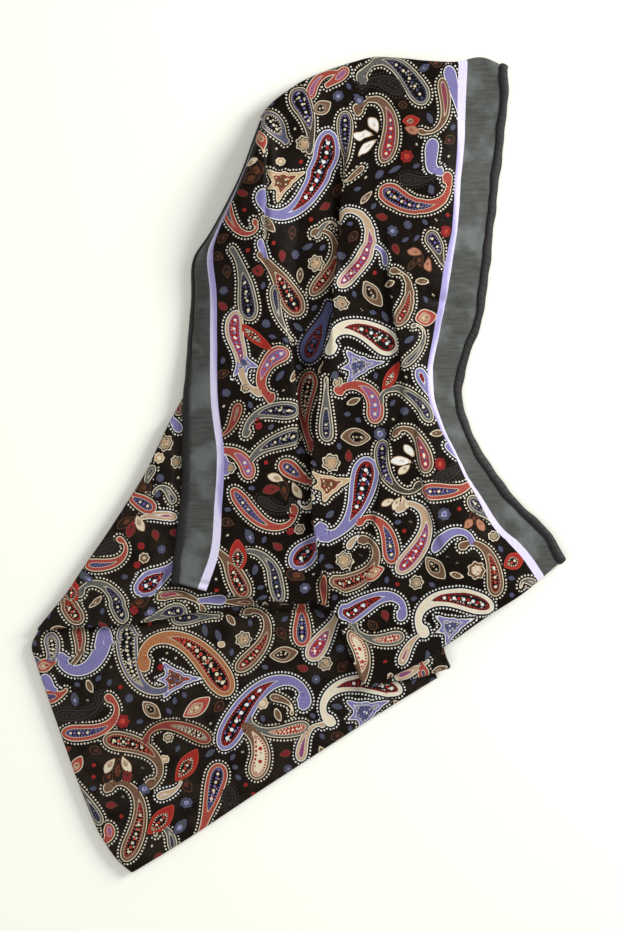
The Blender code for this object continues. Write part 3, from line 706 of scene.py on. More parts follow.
# How a kind of paisley bends and how wide its tail is, where it isn't plain
TAILS = {
    # share of the bend along the whole body, width of the tail, how late it
    # turns over
    "kidney": (0.95, 0.5, 3.2),
    "kidney_cream": (0.95, 0.66, 3.2),
    "lilac_plain": (0.35, 0.6, 3.2),
    "lilac": (0.1, 0.36, 3.8),
}
PLAIN_TAIL = (0.12, 0.32, 3.2)
HEAD_LENGTH = 1.4  # of a paisley, in half widths
HEAD_LEAST = 0.17  # share of its length
HEAD_MOST = 0.45
SLIM_BY = 0.8  # share of the tail where it is at its thinnest
TIP_FROM = 0.95  # share of the length where its end is rounded
TIP_RUN = 0.05
BUD = 0.26  # width of the bud on a tip that bends far
BUD_PLACE = 0.94
BUD_BEND = 60.0

# How far a leaf bends, in degrees, and how far its widest place lies along it
LEAF_FORMS = {"leaf": (12.0, 1.0), "petal": (30.0, 1.35)}
LEAF_FULLNESS = 0.85
RADIAL_STEPS = 120  # points round a star or rosette
STAR_FULLNESS = 1.3
ROSE_WAVE = 0.12  # depth of a rosette's waves, as a share of its half width
ROSE_PETALS = 7.0

# Small shapes that fill the gaps between the motifs, in turn
FILLERS = (
    # kind, style, length, half width in pixels, least gap in millimetres
    ("rose", "blossom", 10, 4.5, 7.6),
    ("petal", "petal_brown", 15, 4.5, 7),
    ("leaf", "leaf", 16, 3.5, 7.2),
    ("rose", "heart", 5, 2.6, 6.4),
    ("leaf", "blossom", 13, 2.8, 6.6),
    ("petal", "petal_red", 14, 4, 7),
    ("rose", "curl", 3.4, 1.7, 6),
    ("leaf", "blossom", 8, 2.4, 5.6),
)
DOT_SPACING = 2.4  # between the dots round a motif
DOT_AWAY = 1.8  # from a motif's line to the middle of its dots
DOT_RADIUS = 0.64
LINE_WIDTH = 0.55  # of a motif's outer line
LILAC_LINE = 5.2  # width of the border's lilac line
PALE_MIDDLE = 0.10  # metres: the line is palest away from here
PALE_REACH = 0.14  # from this far on

CORNER_PLAIN = -500.0  # the border's place where a stretch has none
PLAIN_BELOW = -400.0  # under this it has none
FAR = 60.0  # distance given where no motif is near
SEEK = 9.5  # a motif is measured this far round its outline
PAISLEY_STEPS = 64
OUTLINE_STEP = 0.6  # between the points of an outline that is printed
LEAST_POINTS = 10  # of an outline
FEWEST_DOTS = 3  # round a motif
TIGHTEST_DOTS = 0.25  # share of their spacing that they keep in a hollow
PLACE_REACH = 1.6  # the cloth that shows at a place is sought this far round it
PLACE_LIFT = 2.0  # and corrected by as much as this
BORDER_ROOM = 3.5  # that the small filling keeps from the border
SHORTEST = 1e-6
STRETCH_LIMITS = (0.2, 6.0)  # of the cloth against its plan
FRONT_SEED = 11
CORE_SHARE = 0.5  # share of a paisley where its core starts to narrow
CORE_CLOSE = 9.0  # millimetres that the core narrows by from there to the tip
CORE_START = 0.9  # half widths from the head's end to the first flower
CORE_LINE = 0.4  # width of the line round a core
COMB_TEETH = 2.0  # in a coloured rim, to one dot
BEADS_ROUND = 6  # flowers in the ring of a star or rosette
RING_SHARE = 0.52  # share of its half width where the ring lies
STITCHES_PER_MM = 0.2
FILLER_MOST = 900
LEAN_LIP = 4.4  # how far the highest lapped fold leans out at its lip
LEAN_ROOT = 3.0  # and how far it is tucked in at its root
CEILING_CELL = 2.0  # cell of the map of free height
CEILING_REACH = 3  # cells that a wall's points lower round them
MAP_LOW = (-200.0, -300.0)  # corner of that map in plan
MAP_SIZE = (200, 306)  # its cells
MAP_EMPTY = 90.0  # free height where nothing lies above
MAP_SOFTENING = 2  # cells that its softening reaches
MAP_STEP = 4.0  # the largest step that its softening counts
COARSE_NOSE = 4  # cells round a nose where the free height is measured
COARSE = {"front": (34, 44), "side": (18, 24), "lower": (20, 26), "corner": (8, 6)}

# Sides of the stretches that lie under others, each read as a curve
CORNER_SIDES = (CORNER_BACK, CORNER_END, CORNER_TIP, CORNER_TOP)
SIDE_SIDES = (SIDE_FOLD, SIDE_HIDDEN, TUCK, SIDE_HIDDEN_TOP)
LOWER_SIDES = (LOWER_LEFT, LOWER_HIDDEN, LOWER_RIGHT, LOWER_HIDDEN_TOP)
FRONT_NOSES = (LOWER_NOSE, TOP_NOSE)
FRONT_FOLDS = ("q0", "q1")

# Fineness of the sheets, in cells across and along
FINE = {"front": (170, 270), "side": (140, 140), "lower": (170, 124), "corner": (36, 30)}
FINE_NOSE = 6
RIM_POINTS = 420
RIM_RINGS = 17
RIM_LAYERS = 2
RIM_SLANT = 0.7  # how far the print moves along as the rim rises
LAYER_INSET = 2.6  # of the hidden layers' rim between two layers
LAYER_BULGE = 1.3  # how far a layer stands out from there
DELAUNAY_REACH = 1e-6
CORE_STEP = 13.0
CORE_CLEAR = 0.45  # steps that the top's points keep from its rim
CORE_MOST = 12.0
CORE_LEAST = 0.8
CORE_SAG = 5.0  # room left under the front for its creases
HEM_SIDES = 14
CAMERA_FOCUS = 0.010  # height of the cloth that the frame is measured at
SENSOR = 36.0
TABLE_SIZE = 6.0
LIGHTS = (
    # name, power in watts, size, place
    ("window_light", 48.0, 0.9, (1.55, 0.85, 0.8)),
    ("soft_fill", 11.0, 1.8, (-1.1, -0.7, 1.6)),
)

# Where the print's border lies against the folded edge: at a place along the
# scarf, how far its inner line is moved out, and how wide its lilac line is
LEFT_BAND = (
    # y, moved out, lilac
    (-87, 6.6, 6.4),
    (-56, 6.5, 5.8),
    (-28, 5.6, 5.4),
    (10, 1.8, 5.2),
    (46, 1, 5),
    (84, 0, 4.9),
    (147, 0, 4.6),
    (160, 1, 3.6),
    (185, 4.5, 2.4),
    (204, 9.5, 1.6),
    (243, 14, 1.6),
)
RIGHT_BAND = (
    # y, moved out, lilac
    (-80, 5.6, 4.6),
    (-67, 9.4, 4.8),
    (-52, 12.6, 5),
    (-37, 10.4, 4.8),
    (-22, 9, 3),
    (-7, 5.4, 2),
    (8, 4.2, 1.7),
    (24, 2.1, 2.6),
    (39, 0.8, 4),
    (54, -0.8, 5.2),
    (69, -3, 4.9),
    (84, -3.8, 4.9),
    (100, -3.5, 5),
    (115, -2, 5.6),
    (136, -1.3, 6.4),
    (163, 1, 4.4),
    (200, -2, 4.8),
    (275, -1.3, 6.6),
)

# Small creases, on the photograph: ends, bow to the left in millimetres,
# height and half width in millimetres
FRONT_CREASES = (
    # x0, y0, x1, y1, bow, height, half width
    (430, 300, 488, 309, 0, -1.9, 3.6),
    (432, 288, 488, 292, 0, 0.9, 5),
    (452, 124, 498, 119, 0, -1.2, 6),
    (455, 92, 498, 98, 0, 0.7, 6),
    (168, 579, 216, 586, 0.5, -1.6, 1.8),
    (172, 470, 224, 474, 0, -0.6, 4),
    (265, 138, 264, 262, 1, -1.8, 1.8),
    (270, 140, 270, 250, 1, 1, 4),
    (345, 170, 350, 290, -3, -3.2, 4.2),
    (303, 346, 301, 444, -1, -5.6, 7),
    (334, 352, 328, 440, 0, 1.6, 5),
    (276, 330, 284, 420, 1, 1.8, 7),
    (312, 452, 306, 590, 3, -1.8, 3.6),
    (400, 250, 424, 400, -4, 1, 8),
    (380, 230, 396, 300, 2, -1, 5),
    (452, 520, 520, 600, -6, 0.9, 8),
    (430, 480, 480, 560, -4, -0.8, 6),
    (360, 520, 372, 600, 2, 0.9, 8),
    (300, 210, 298, 300, -2, -3, 6),
    (240, 240, 250, 330, 2, 0.8, 8),
)
SIDE_CREASES = (
    # x0, y0, x1, y1, bow, height, half width
    (80, 612, 168, 598, 2, 0.7, 6),
    (118, 566, 168, 520, 3, 0.6, 6),
    (134, 600, 172, 540, -2, -0.6, 4),
)
LOWER_CREASES = (
    # x0, y0, x1, y1, bow, height, half width
    (48, 631, 167, 621, 0, -1.7, 2.4),
    (167, 621, 326, 604, 0, -1.7, 2.4),
    (60, 660, 190, 650, 4, 0.7, 7),
    (110, 760, 250, 700, -8, 0.7, 9),
    (90, 700, 150, 800, 5, -0.6, 6),
    (230, 720, 350, 690, 4, -0.6, 7),
)

# The stretches under the front, from the upper down: folds names the sides
# that are soft folds
Stretch = namedtuple("Stretch", "sides top swells folds creases paisleys small seed")
STRETCHES = {
    "corner": Stretch(
        CORNER_SIDES, CORNER_HEIGHT, (), ("p1", "q0"),
        (), CORNER_PAISLEYS, CORNER_SMALL, 41,
    ),
    "side": Stretch(
        SIDE_SIDES, SIDE_TOP, SIDE_SWELLS, ("p0", "q0"),
        SIDE_CREASES, SIDE_PAISLEYS, SIDE_SMALL, 23,
    ),
    "lower": Stretch(
        LOWER_SIDES, LOWER_TOP, LOWER_SWELLS, ("p0", "q0"),
        LOWER_CREASES, LOWER_PAISLEYS, LOWER_SMALL, 37,
    ),
}


def read_curve(rows, share):
    """Smooth curve through the rows, read at shares of its length."""
    points = np.array(rows, float)
    steps = np.linalg.norm(np.diff(points[:, :2], axis=0), axis=1)
    knots = np.concatenate([[0.0], np.cumsum(steps)]) / steps.sum()
    slopes = np.gradient(points, knots, axis=0)
    share = np.clip(np.asarray(share, float), 0.0, 1.0)
    index = np.clip(np.searchsorted(knots, share, side="right") - 1, 0, len(knots) - 2)
    width = (knots[index + 1] - knots[index])[..., None]
    t = (share - knots[index])[..., None] / width
    first = points[index] * (2 * t**3 - 3 * t**2 + 1)
    second = points[index + 1] * (-2 * t**3 + 3 * t**2)
    bend = slopes[index] * (t**3 - 2 * t**2 + t) + slopes[index + 1] * (t**3 - t**2)
    return first + second + bend * width


def smooth(value):
    """A soft step from nought to one."""
    value = np.clip(value, 0.0, 1.0)
    return value * value * (3.0 - 2.0 * value)


def faded(share, before, over):
    """One along a line, fading out over a share of it past both its ends."""
    return smooth((share + before) / over) * smooth((1.0 + before - share) / over)


def unit(vectors):
    """The vectors at length one."""
    return vectors / np.linalg.norm(vectors, axis=-1, keepdims=True)


def to_plan(pixel_x, pixel_y):
    """Plan place in millimetres of a place on the photograph."""
    x = (pixel_x - MIDDLE_PX[0]) * PIXEL
    y = (MIDDLE_PX[1] - pixel_y) * PIXEL
    return x, y


def swell_height(rows, x, y):
    """Height that soft swells and hollows add."""
    height = np.zeros_like(x)
    for place_x, place_y, rise, wide, tall in rows:
        reach = ((x - place_x) / wide) ** 2 + ((y - place_y) / tall) ** 2
        height += rise * np.exp(-reach)
    return height


def laps_at(x, y):
    """Each lapped fold, with how far along it and how far past its line places lie."""
    for points, rise, run, drop in LAPS:
        line = read_curve(points, np.linspace(0.0, 1.0, LAP_STEPS + 1))
        share = np.clip((y - line[0, 1]) / (line[-1, 1] - line[0, 1]), -LAP_PAST, 1.0 + LAP_PAST)
        side = math.copysign(1.0, run)
        away = (x - np.interp(y, line[:, 1], line[:, 0])) * side
        yield rise, abs(run), drop, side, share, away


def lap_height(x, y):
    """Height that the lapped folds add to the front."""
    height = np.zeros_like(x)
    for rise, run, drop, _, share, away in laps_at(x, y):
        high = np.exp(-np.clip(away, 0.0, None) / run)
        low = smooth(1.0 + away / drop)
        height += rise * faded(share, 0.3, 0.5) * np.where(away > 0.0, high, low)
    return height


def lap_shift(x, y):
    """How far the lapped folds lean over their low side, in plan along x."""
    shift = np.zeros_like(x)
    for rise, _, drop, side, share, away in laps_at(x, y):
        lip = np.exp(-(((away - LIP_PAST) / LIP_WIDTH) ** 2))
        root = np.exp(-(((away + drop) / ROOT_WIDTH) ** 2))
        lean = LEAN_ROOT * root - LEAN_LIP * lip
        shift += side * faded(share, 0.1, 0.4) * rise / LEAN_RISE * lean
    return shift


def crease_height(rows, x, y):
    """Height of the listed small creases."""
    height = np.zeros_like(x)
    for x0, y0, x1, y1, bow, rise, wide in rows:
        start = np.array(to_plan(x0, y0))
        run = np.array(to_plan(x1, y1)) - start
        length = np.linalg.norm(run)
        run = run / length
        along = ((x - start[0]) * run[0] + (y - start[1]) * run[1]) / length
        across = (y - start[1]) * run[0] - (x - start[0]) * run[1]
        across = across - bow * np.sin(np.clip(along, 0.0, 1.0) * math.pi)
        height += rise * faded(along, 0.15, 0.4) * np.exp(-((across / wide) ** 2))
    return height


def front_height(x, y, p, q):
    """Height of the front's outer side at a place in plan."""
    left = read_curve(LEFT_EDGE, q)[..., 2]
    right = read_curve(RIGHT_EDGE, q)[..., 2]
    inner = FRONT_BASE + swell_height(SWELLS, x, y) + lap_height(x, y)
    top = smooth((q - UPPER_FROM) / UPPER_RUN)
    inner = inner + (FRONT_FOLD_TOP - inner) * top
    bottom = smooth((LOWER_RUN - q) / LOWER_RUN)
    inner = inner + (FRONT_LOWER_TOP - inner) * bottom
    near_left = np.clip(p / (BORDER_PART * LEFT_SLOPE), 0.0, 1.0)
    near_right = np.clip((1.0 - p) / (BORDER_PART * RIGHT_SLOPE), 0.0, 1.0)
    rise_left = np.sqrt(1.0 - (1.0 - near_left) ** 2)
    rise_right = np.sin(near_right * math.pi / 2.0)
    height = left + (inner - left) * rise_left
    return right + (height - right) * rise_right


def patch(left, right, lower, upper, p, q):
    """Plan place on a four-sided patch, all sides read as curves."""
    side_l = read_curve(left, q)[..., :2]
    side_r = read_curve(right, q)[..., :2]
    side_b = read_curve(lower, p)[..., :2]
    side_t = read_curve(upper, p)[..., :2]
    corner = [np.array(row[:2]) for row in (lower[0], lower[-1], upper[0], upper[-1])]
    a, b = p[..., None], q[..., None]
    ruled = (1 - a) * side_l + a * side_r + (1 - b) * side_b + b * side_t
    twice = (
        (1 - a) * (1 - b) * corner[0]
        + a * (1 - b) * corner[1]
        + (1 - a) * b * corner[2]
        + a * b * corner[3]
    )
    return ruled - twice


def front_plan(p, q):
    """Plan place on the front, where the borders keep their own widths."""
    across = read_curve(RIGHT_EDGE, q)[..., :2] - read_curve(LEFT_EDGE, q)[..., :2]
    width = np.linalg.norm(across, axis=-1)
    left = read_curve(LEFT_EDGE, q)[..., 3] / width
    right = 1.0 - read_curve(RIGHT_EDGE, q)[..., 3] / width
    in_left = p / BORDER_PART * left
    in_right = 1.0 - (1.0 - p) / BORDER_PART * (1.0 - right)
    share = (p - BORDER_PART) / (1.0 - 2.0 * BORDER_PART)
    middle = left + share * (right - left)
    place = np.where(p < BORDER_PART, in_left, middle)
    place = np.where(p > 1.0 - BORDER_PART, in_right, place)
    return patch(LEFT_EDGE, RIGHT_EDGE, LOWER_FOLD, TOP_FOLD, place, q)


def front_surface(p, q):
    """The front's outer side, at shares across and along it."""
    plan = front_plan(p, q)
    height = front_height(plan[..., 0], plan[..., 1], p, q)
    return np.concatenate([plan, height[..., None]], axis=-1)


def plain_surface(row, ceiling):
    """A surface function for a stretch of nearly even height below others."""

    def surface(p, q):
        plan = patch(*row.sides, p, q)
        x, y = plan[..., 0], plan[..., 1]
        height = row.top + swell_height(row.swells, x, y)
        near = np.minimum(smooth(p / EVEN_RIM), smooth(q / EVEN_RIM))
        height = row.top + (height - row.top) * near
        height = np.minimum(height, ceiling.read(x, y) - LAYER_GAP)
        return np.concatenate([plan, height[..., None]], axis=-1)

    return surface


class Ceiling:
    """A map of the lowest wall seen so far above each cell of the table."""

    def __init__(self, cells=None):
        self.low = np.array(MAP_LOW)
        self.size = MAP_SIZE
        self.map = np.full(self.size, MAP_EMPTY) if cells is None else cells
        self.soft = None

    def add(self, points):
        """Lowers the map to these points, spread over their neighbours."""
        self.soft = None
        cell = np.floor((points[:, :2] - self.low) / CEILING_CELL).astype(int)
        for step_x in range(-CEILING_REACH, CEILING_REACH + 1):
            for step_y in range(-CEILING_REACH, CEILING_REACH + 1):
                place = np.clip(cell + (step_x, step_y), 0, np.array(self.size) - 1)
                np.minimum.at(self.map, (place[:, 0], place[:, 1]), points[:, 2])

    def add_wall(self, points):
        """Lowers the map to both sides of a wall, given its outer points."""
        inner = points - grid_normals(points) * WALL
        self.add(np.concatenate([refined(inner), refined(points)]))

    def softened(self):
        """The map with its steps rounded off, never above the map itself."""
        wide = np.pad(self.map, MAP_SOFTENING, mode="edge")
        cells = 2 * MAP_SOFTENING + 1
        total = np.zeros_like(self.map)
        for step_x in range(cells):
            for step_y in range(cells):
                columns = slice(step_y, step_y + self.size[1])
                part = wide[step_x : step_x + self.size[0], columns]
                total += np.minimum(part, self.map + MAP_STEP)
        return np.minimum(total / cells**2, self.map)

    def read(self, x, y):
        """The free height above places in plan."""
        if self.soft is None:
            self.soft = self.softened()
        soft = self.soft
        u = np.clip((x - self.low[0]) / CEILING_CELL - 0.5, 0, self.size[0] - 1.001)
        v = np.clip((y - self.low[1]) / CEILING_CELL - 0.5, 0, self.size[1] - 1.001)
        i, j = u.astype(int), v.astype(int)
        a, b = u - i, v - j
        near = soft[i, j] * (1 - a) + soft[i + 1, j] * a
        far = soft[i, j + 1] * (1 - a) + soft[i + 1, j + 1] * a
        return near * (1 - b) + far * b


def outward(surface, p, q):
    """Unit direction out of the patch in plan, at its rim."""
    side_p = np.where(p <= 0.0, -1.0, np.where(p >= 1.0, 1.0, 0.0))
    side_q = np.where(q <= 0.0, -1.0, np.where(q >= 1.0, 1.0, 0.0))
    inner_p = np.clip(p, 0.0, 1.0)
    inner_q = np.clip(q, 0.0, 1.0)
    right = surface(np.clip(inner_p + PROBE, 0, 1), inner_q)
    along_p = right - surface(np.clip(inner_p - PROBE, 0, 1), inner_q)
    above = surface(inner_p, np.clip(inner_q + PROBE, 0, 1))
    along_q = above - surface(inner_p, np.clip(inner_q - PROBE, 0, 1))
    normal_q = np.stack([-along_p[..., 1], along_p[..., 0]], axis=-1)
    normal_p = np.stack([along_q[..., 1], -along_q[..., 0]], axis=-1)
    normal_q /= np.linalg.norm(normal_q, axis=-1, keepdims=True) + TINY
    normal_p /= np.linalg.norm(normal_p, axis=-1, keepdims=True) + TINY
    return side_p[..., None] * normal_p, side_q[..., None] * normal_q


def with_noses(surface, p, q, extra_p, extra_q, radius):
    """Points of the surface, turned down round a soft edge where it goes on."""
    base = surface(p, q)
    out_p, out_q = outward(surface, p, q)
    lean = out_p * extra_p[..., None] + out_q * extra_q[..., None]
    turn = np.maximum(extra_p, extra_q)
    radius = radius[0] + (radius[1] - radius[0]) * q
    length = np.linalg.norm(lean, axis=-1, keepdims=True)
    lean = lean / np.maximum(length, SMALL)
    angle = turn * NOSE_TURN
    base[..., :2] += lean * (radius * np.sin(angle))[..., None]
    base[..., 2] -= radius * (1.0 - np.cos(angle))
    return base


def spread_rows(cells, nose_start, nose_end, turns_count):
    """Shares along one direction, with how far each lies round a nose."""
    turns = np.linspace(0.0, 1.0, turns_count + 1)[1:]
    share = np.linspace(0.0, 1.0, cells + 1)
    extra = np.zeros_like(share)
    if nose_start:
        share = np.concatenate([np.zeros(turns_count), share])
        extra = np.concatenate([turns[::-1], extra])
    if nose_end:
        share = np.concatenate([share, np.ones(turns_count)])
        extra = np.concatenate([extra, turns])
    return share, extra


def sheet_points(surface, cells, noses, radius, turns_count):
    """Grid of outer points: noses names the sides p0, p1, q0 and q1."""
    share_p, extra_p = spread_rows(cells[0], "p0" in noses, "p1" in noses, turns_count)
    share_q, extra_q = spread_rows(cells[1], "q0" in noses, "q1" in noses, turns_count)
    p, q = np.meshgrid(share_p, share_q, indexing="ij")
    turn_p, turn_q = np.meshgrid(extra_p, extra_q, indexing="ij")
    return with_noses(surface, p, q, turn_p, turn_q, radius)


def grid_normals(points):
    """Unit normals of a grid of points."""
    along_p = np.gradient(points, axis=0)
    along_q = np.gradient(points, axis=1)
    normal = np.cross(along_p, along_q)
    return normal / np.maximum(np.linalg.norm(normal, axis=-1, keepdims=True), SMALL)


def refined(points):
    """The grid's points with those halfway between them, as one list."""
    for axis in (0, 1, 0, 1):
        count = points.shape[axis]
        places = np.arange(2 * count - 1) / 2.0
        low = np.floor(places).astype(int)
        high = np.ceil(places).astype(int)
        points = 0.5 * (points.take(low, axis) + points.take(high, axis))
    return points.reshape(-1, 3)


def unroll(points, plan, noses):
    """Plan places with those round the soft folds set out flat."""
    plan = plan.copy()
    for side in noses:
        axis = 0 if side[0] == "p" else 1
        flat = np.swapaxes(plan, 0, axis)
        solid = np.swapaxes(points, 0, axis)
        if side[1] == "1":
            flat, solid = flat[::-1], solid[::-1]
        first = flat[FINE_NOSE] - flat[FINE_NOSE + 1]
        first /= np.maximum(np.linalg.norm(first, axis=1, keepdims=True), SMALL)
        for index in range(FINE_NOSE - 1, -1, -1):
            run = np.linalg.norm(solid[index] - solid[index + 1], axis=1)
            flat[index] = flat[index + 1] + first * run[:, None]
    return plan


def flat_print(points, plan):
    """Where each point of a grid lies on the flat cloth, in millimetres.

    The cloth is measured along the rows and columns from the grid's middle, so
    the print keeps its length over folds, and shows there as it is seen from
    above.
    """
    flat = plan.copy()
    for axis in (0, 1):
        middle = [points.shape[axis] // 2]
        flat_step = np.diff(plan, axis=axis)
        long = np.linalg.norm(np.diff(points, axis=axis), axis=-1)
        short = np.maximum(np.linalg.norm(flat_step, axis=-1), SHORTEST)
        grown = flat_step[..., axis] * np.clip(long / short, *STRETCH_LIMITS)
        start = np.zeros_like(grown.take([0], axis))
        total = np.concatenate([start, np.cumsum(grown, axis=axis)], axis)
        flat[..., axis] = plan[..., axis].take(middle, axis) + total - total.take(middle, axis)
    return flat


def stroke(angle, length):
    """A line of points from the origin on, and the direction at each."""
    way = np.stack([np.cos(angle), np.sin(angle)], axis=1)
    step = length / (PAISLEY_STEPS - 1)
    spine = np.concatenate([np.zeros((1, 2)), np.cumsum(way[:-1] * step, axis=0)])
    return spine, way


def both_sides(spine, way, width):
    """The closed outline that lies a width away on both sides of a line."""
    side = np.stack([-way[:, 1], way[:, 0]], axis=1) * width[:, None]
    return np.concatenate([spine + side, (spine - side)[::-1]])


def paisley(style, length, half, turn, bend):
    """A paisley's outline, spine and widths, its head's middle at the origin."""
    even, thin, hook = TAILS.get(style, PLAIN_TAIL)
    t = np.linspace(0.0, 1.0, PAISLEY_STEPS)
    spine, way = stroke(np.radians(turn + bend * (even * t + (1.0 - even) * t**hook)), length)
    head = min(max(half * HEAD_LENGTH / length, HEAD_LEAST), HEAD_MOST)
    rest = np.clip((t - head) / (1.0 - head), 0.0, 1.0)
    round_end = np.clip(t - TIP_FROM, 0.0, 1.0) / TIP_RUN
    tip = np.sqrt(np.clip(1.0 - round_end**2, 0.0, 1.0))
    bud = BUD * np.exp(-(((t - BUD_PLACE) / TIP_RUN) ** 2)) if abs(bend) > BUD_BEND else 0.0
    slim = (1.0 - smooth(rest / SLIM_BY)) ** 0.9
    tail = half * (thin + (1.0 - thin) * slim + bud) * tip
    round_head = half * np.sqrt(np.clip(1.0 - ((head - t) / head) ** 2, 0.0, 1.0))
    width = np.where(t < head, round_head, tail)
    spine = spine - spine[int(min(half / length, HEAD_MOST) * (PAISLEY_STEPS - 1))]
    return both_sides(spine, way, width), spine, width


def leaf(kind, length, half, turn):
    """A leaf or petal, with its middle at the origin."""
    bend, lean = LEAF_FORMS[kind]
    t = np.linspace(0.0, 1.0, PAISLEY_STEPS)
    spine, way = stroke(np.radians(turn + bend * (t - 0.5)), length)
    spine = spine - spine[PAISLEY_STEPS // 2]
    width = half * np.sin(t**lean * math.pi) ** LEAF_FULLNESS
    return both_sides(spine, way, width), spine, width


def radial(kind, length, half, turn):
    """A star or rosette, with its middle at the origin."""
    angle = np.linspace(-math.pi, math.pi, RADIAL_STEPS + 1)[:-1]
    fullness = 1.0
    if kind == "star":
        way, far = np.array(PALMETTE).T
        reach = np.interp(np.degrees(np.abs(angle)), way, far)
        fullness = STAR_FULLNESS
    else:
        reach = 1.0 - ROSE_WAVE + ROSE_WAVE * np.cos(angle * ROSE_PETALS)
    x = np.cos(angle) * length / 2.0 * reach
    y = np.sin(angle) * half * fullness * reach
    cos, sin = math.cos(math.radians(turn)), math.sin(math.radians(turn))
    return np.stack([x * cos - y * sin, x * sin + y * cos], axis=1)


def evenly(outline, spacing):
    """The closed outline with its points set evenly along it."""
    ring = np.concatenate([outline, outline[:1]])
    steps = np.linalg.norm(np.diff(ring, axis=0), axis=1)
    run = np.concatenate([[0.0], np.cumsum(steps)])
    count = max(int(run[-1] / spacing), LEAST_POINTS)
    places = np.linspace(0.0, run[-1], count + 1)[:-1]
    return np.stack([np.interp(places, run, ring[:, k]) for k in (0, 1)], axis=1)


def area_of(outline):
    """Signed area inside a closed outline."""
    after = np.roll(outline, -1, axis=0)
    return 0.5 * (outline[:, 0] * after[:, 1] - after[:, 0] * outline[:, 1]).sum()


def nearest_on(places, line, closed):
    """Distance to a line, with the step, share and side of the nearest place on it."""
    start = line
    end = np.roll(line, -1, axis=0)
    if not closed:
        start, end = line[:-1], line[1:]
    run = end - start
    square = np.maximum((run**2).sum(axis=1), SMALL)
    offset = places[:, None, :] - start[None, :, :]
    share = np.clip((offset * run).sum(axis=2) / square, 0.0, 1.0)
    gap = offset - share[..., None] * run
    distance = (gap**2).sum(axis=2)
    index = distance.argmin(axis=1)
    rows = np.arange(len(places))
    cross = run[index, 0] * offset[rows, index, 1] - run[index, 1] * offset[rows, index, 0]
    return np.sqrt(distance[rows, index]), index, share[rows, index], np.sign(cross)


def inside_outline(outline, places):
    """Which places lie inside a closed outline."""
    x, y = places[:, 0][:, None], places[:, 1][:, None]
    start, end = outline, np.roll(outline, -1, axis=0)
    crosses = (start[:, 1] > y) != (end[:, 1] > y)
    rise = end[:, 1] - start[:, 1]
    rise = np.where(np.abs(rise) < TINY, TINY, rise)
    at = start[:, 0] + (y - start[:, 1]) / rise * (end[:, 0] - start[:, 0])
    return (crosses & (x < at)).sum(axis=1) % 2 == 1


def dot_run(outline):
    """How many dots along its row each point of an outline lies, and their number."""
    after = np.roll(outline, -1, axis=0) - outline
    way = outline - np.roll(outline, 1, axis=0) + after
    way /= np.maximum(np.linalg.norm(way, axis=1, keepdims=True), SMALL)
    turned = np.stack([way[:, 1], -way[:, 0]], axis=1)
    if area_of(outline) < 0.0:
        turned = -turned
    row = outline + turned * DOT_AWAY
    steps = np.linalg.norm(np.roll(row, -1, axis=0) - row, axis=1)
    steps = np.maximum(steps, np.linalg.norm(after, axis=1) * TIGHTEST_DOTS)
    count = max(round(steps.sum() / DOT_SPACING), FEWEST_DOTS)
    return np.concatenate([[0.0], np.cumsum(steps)]) / steps.sum() * count, count


def along_spine(places, middle, spine, width):
    """Where places lie along and across a motif's spine, and which are in its body."""
    gap, index, share, side = nearest_on(places, spine + middle, False)
    lengths = np.linalg.norm(np.diff(spine, axis=0), axis=1)
    reach = np.concatenate([[0.0], np.cumsum(lengths)])
    along = reach[index] + share * lengths[index] - CORE_START * width.max()
    body = width[index] * (1.0 - share) + width[index + 1] * share
    return np.stack([along, gap * side, (index + share) / (len(spine) - 1)], axis=1), gap < body


def round_middle(places, middle, pitch, radius):
    """Where places lie along and across the ring of flowers in a star or rosette."""
    offset = places - middle
    around = np.arctan2(offset[:, 1], offset[:, 0]) / (2.0 * math.pi)
    across = np.hypot(offset[:, 0], offset[:, 1]) - RING_SHARE * radius
    return np.stack([around * BEADS_ROUND * pitch, across, np.zeros(len(places))], axis=1)


def unwound(values, whole):
    """Values at the corners of cells, on one turn where they cross a ring's start."""
    most = values.max(axis=2, keepdims=True)
    return values + np.where(most - values > whole / 2, whole, 0)


def corners_of(grid):
    """Values of a grid's points, gathered at the four corners of its cells."""
    return np.stack([grid[:-1, :-1], grid[1:, :-1], grid[1:, 1:], grid[:-1, 1:]], axis=2)


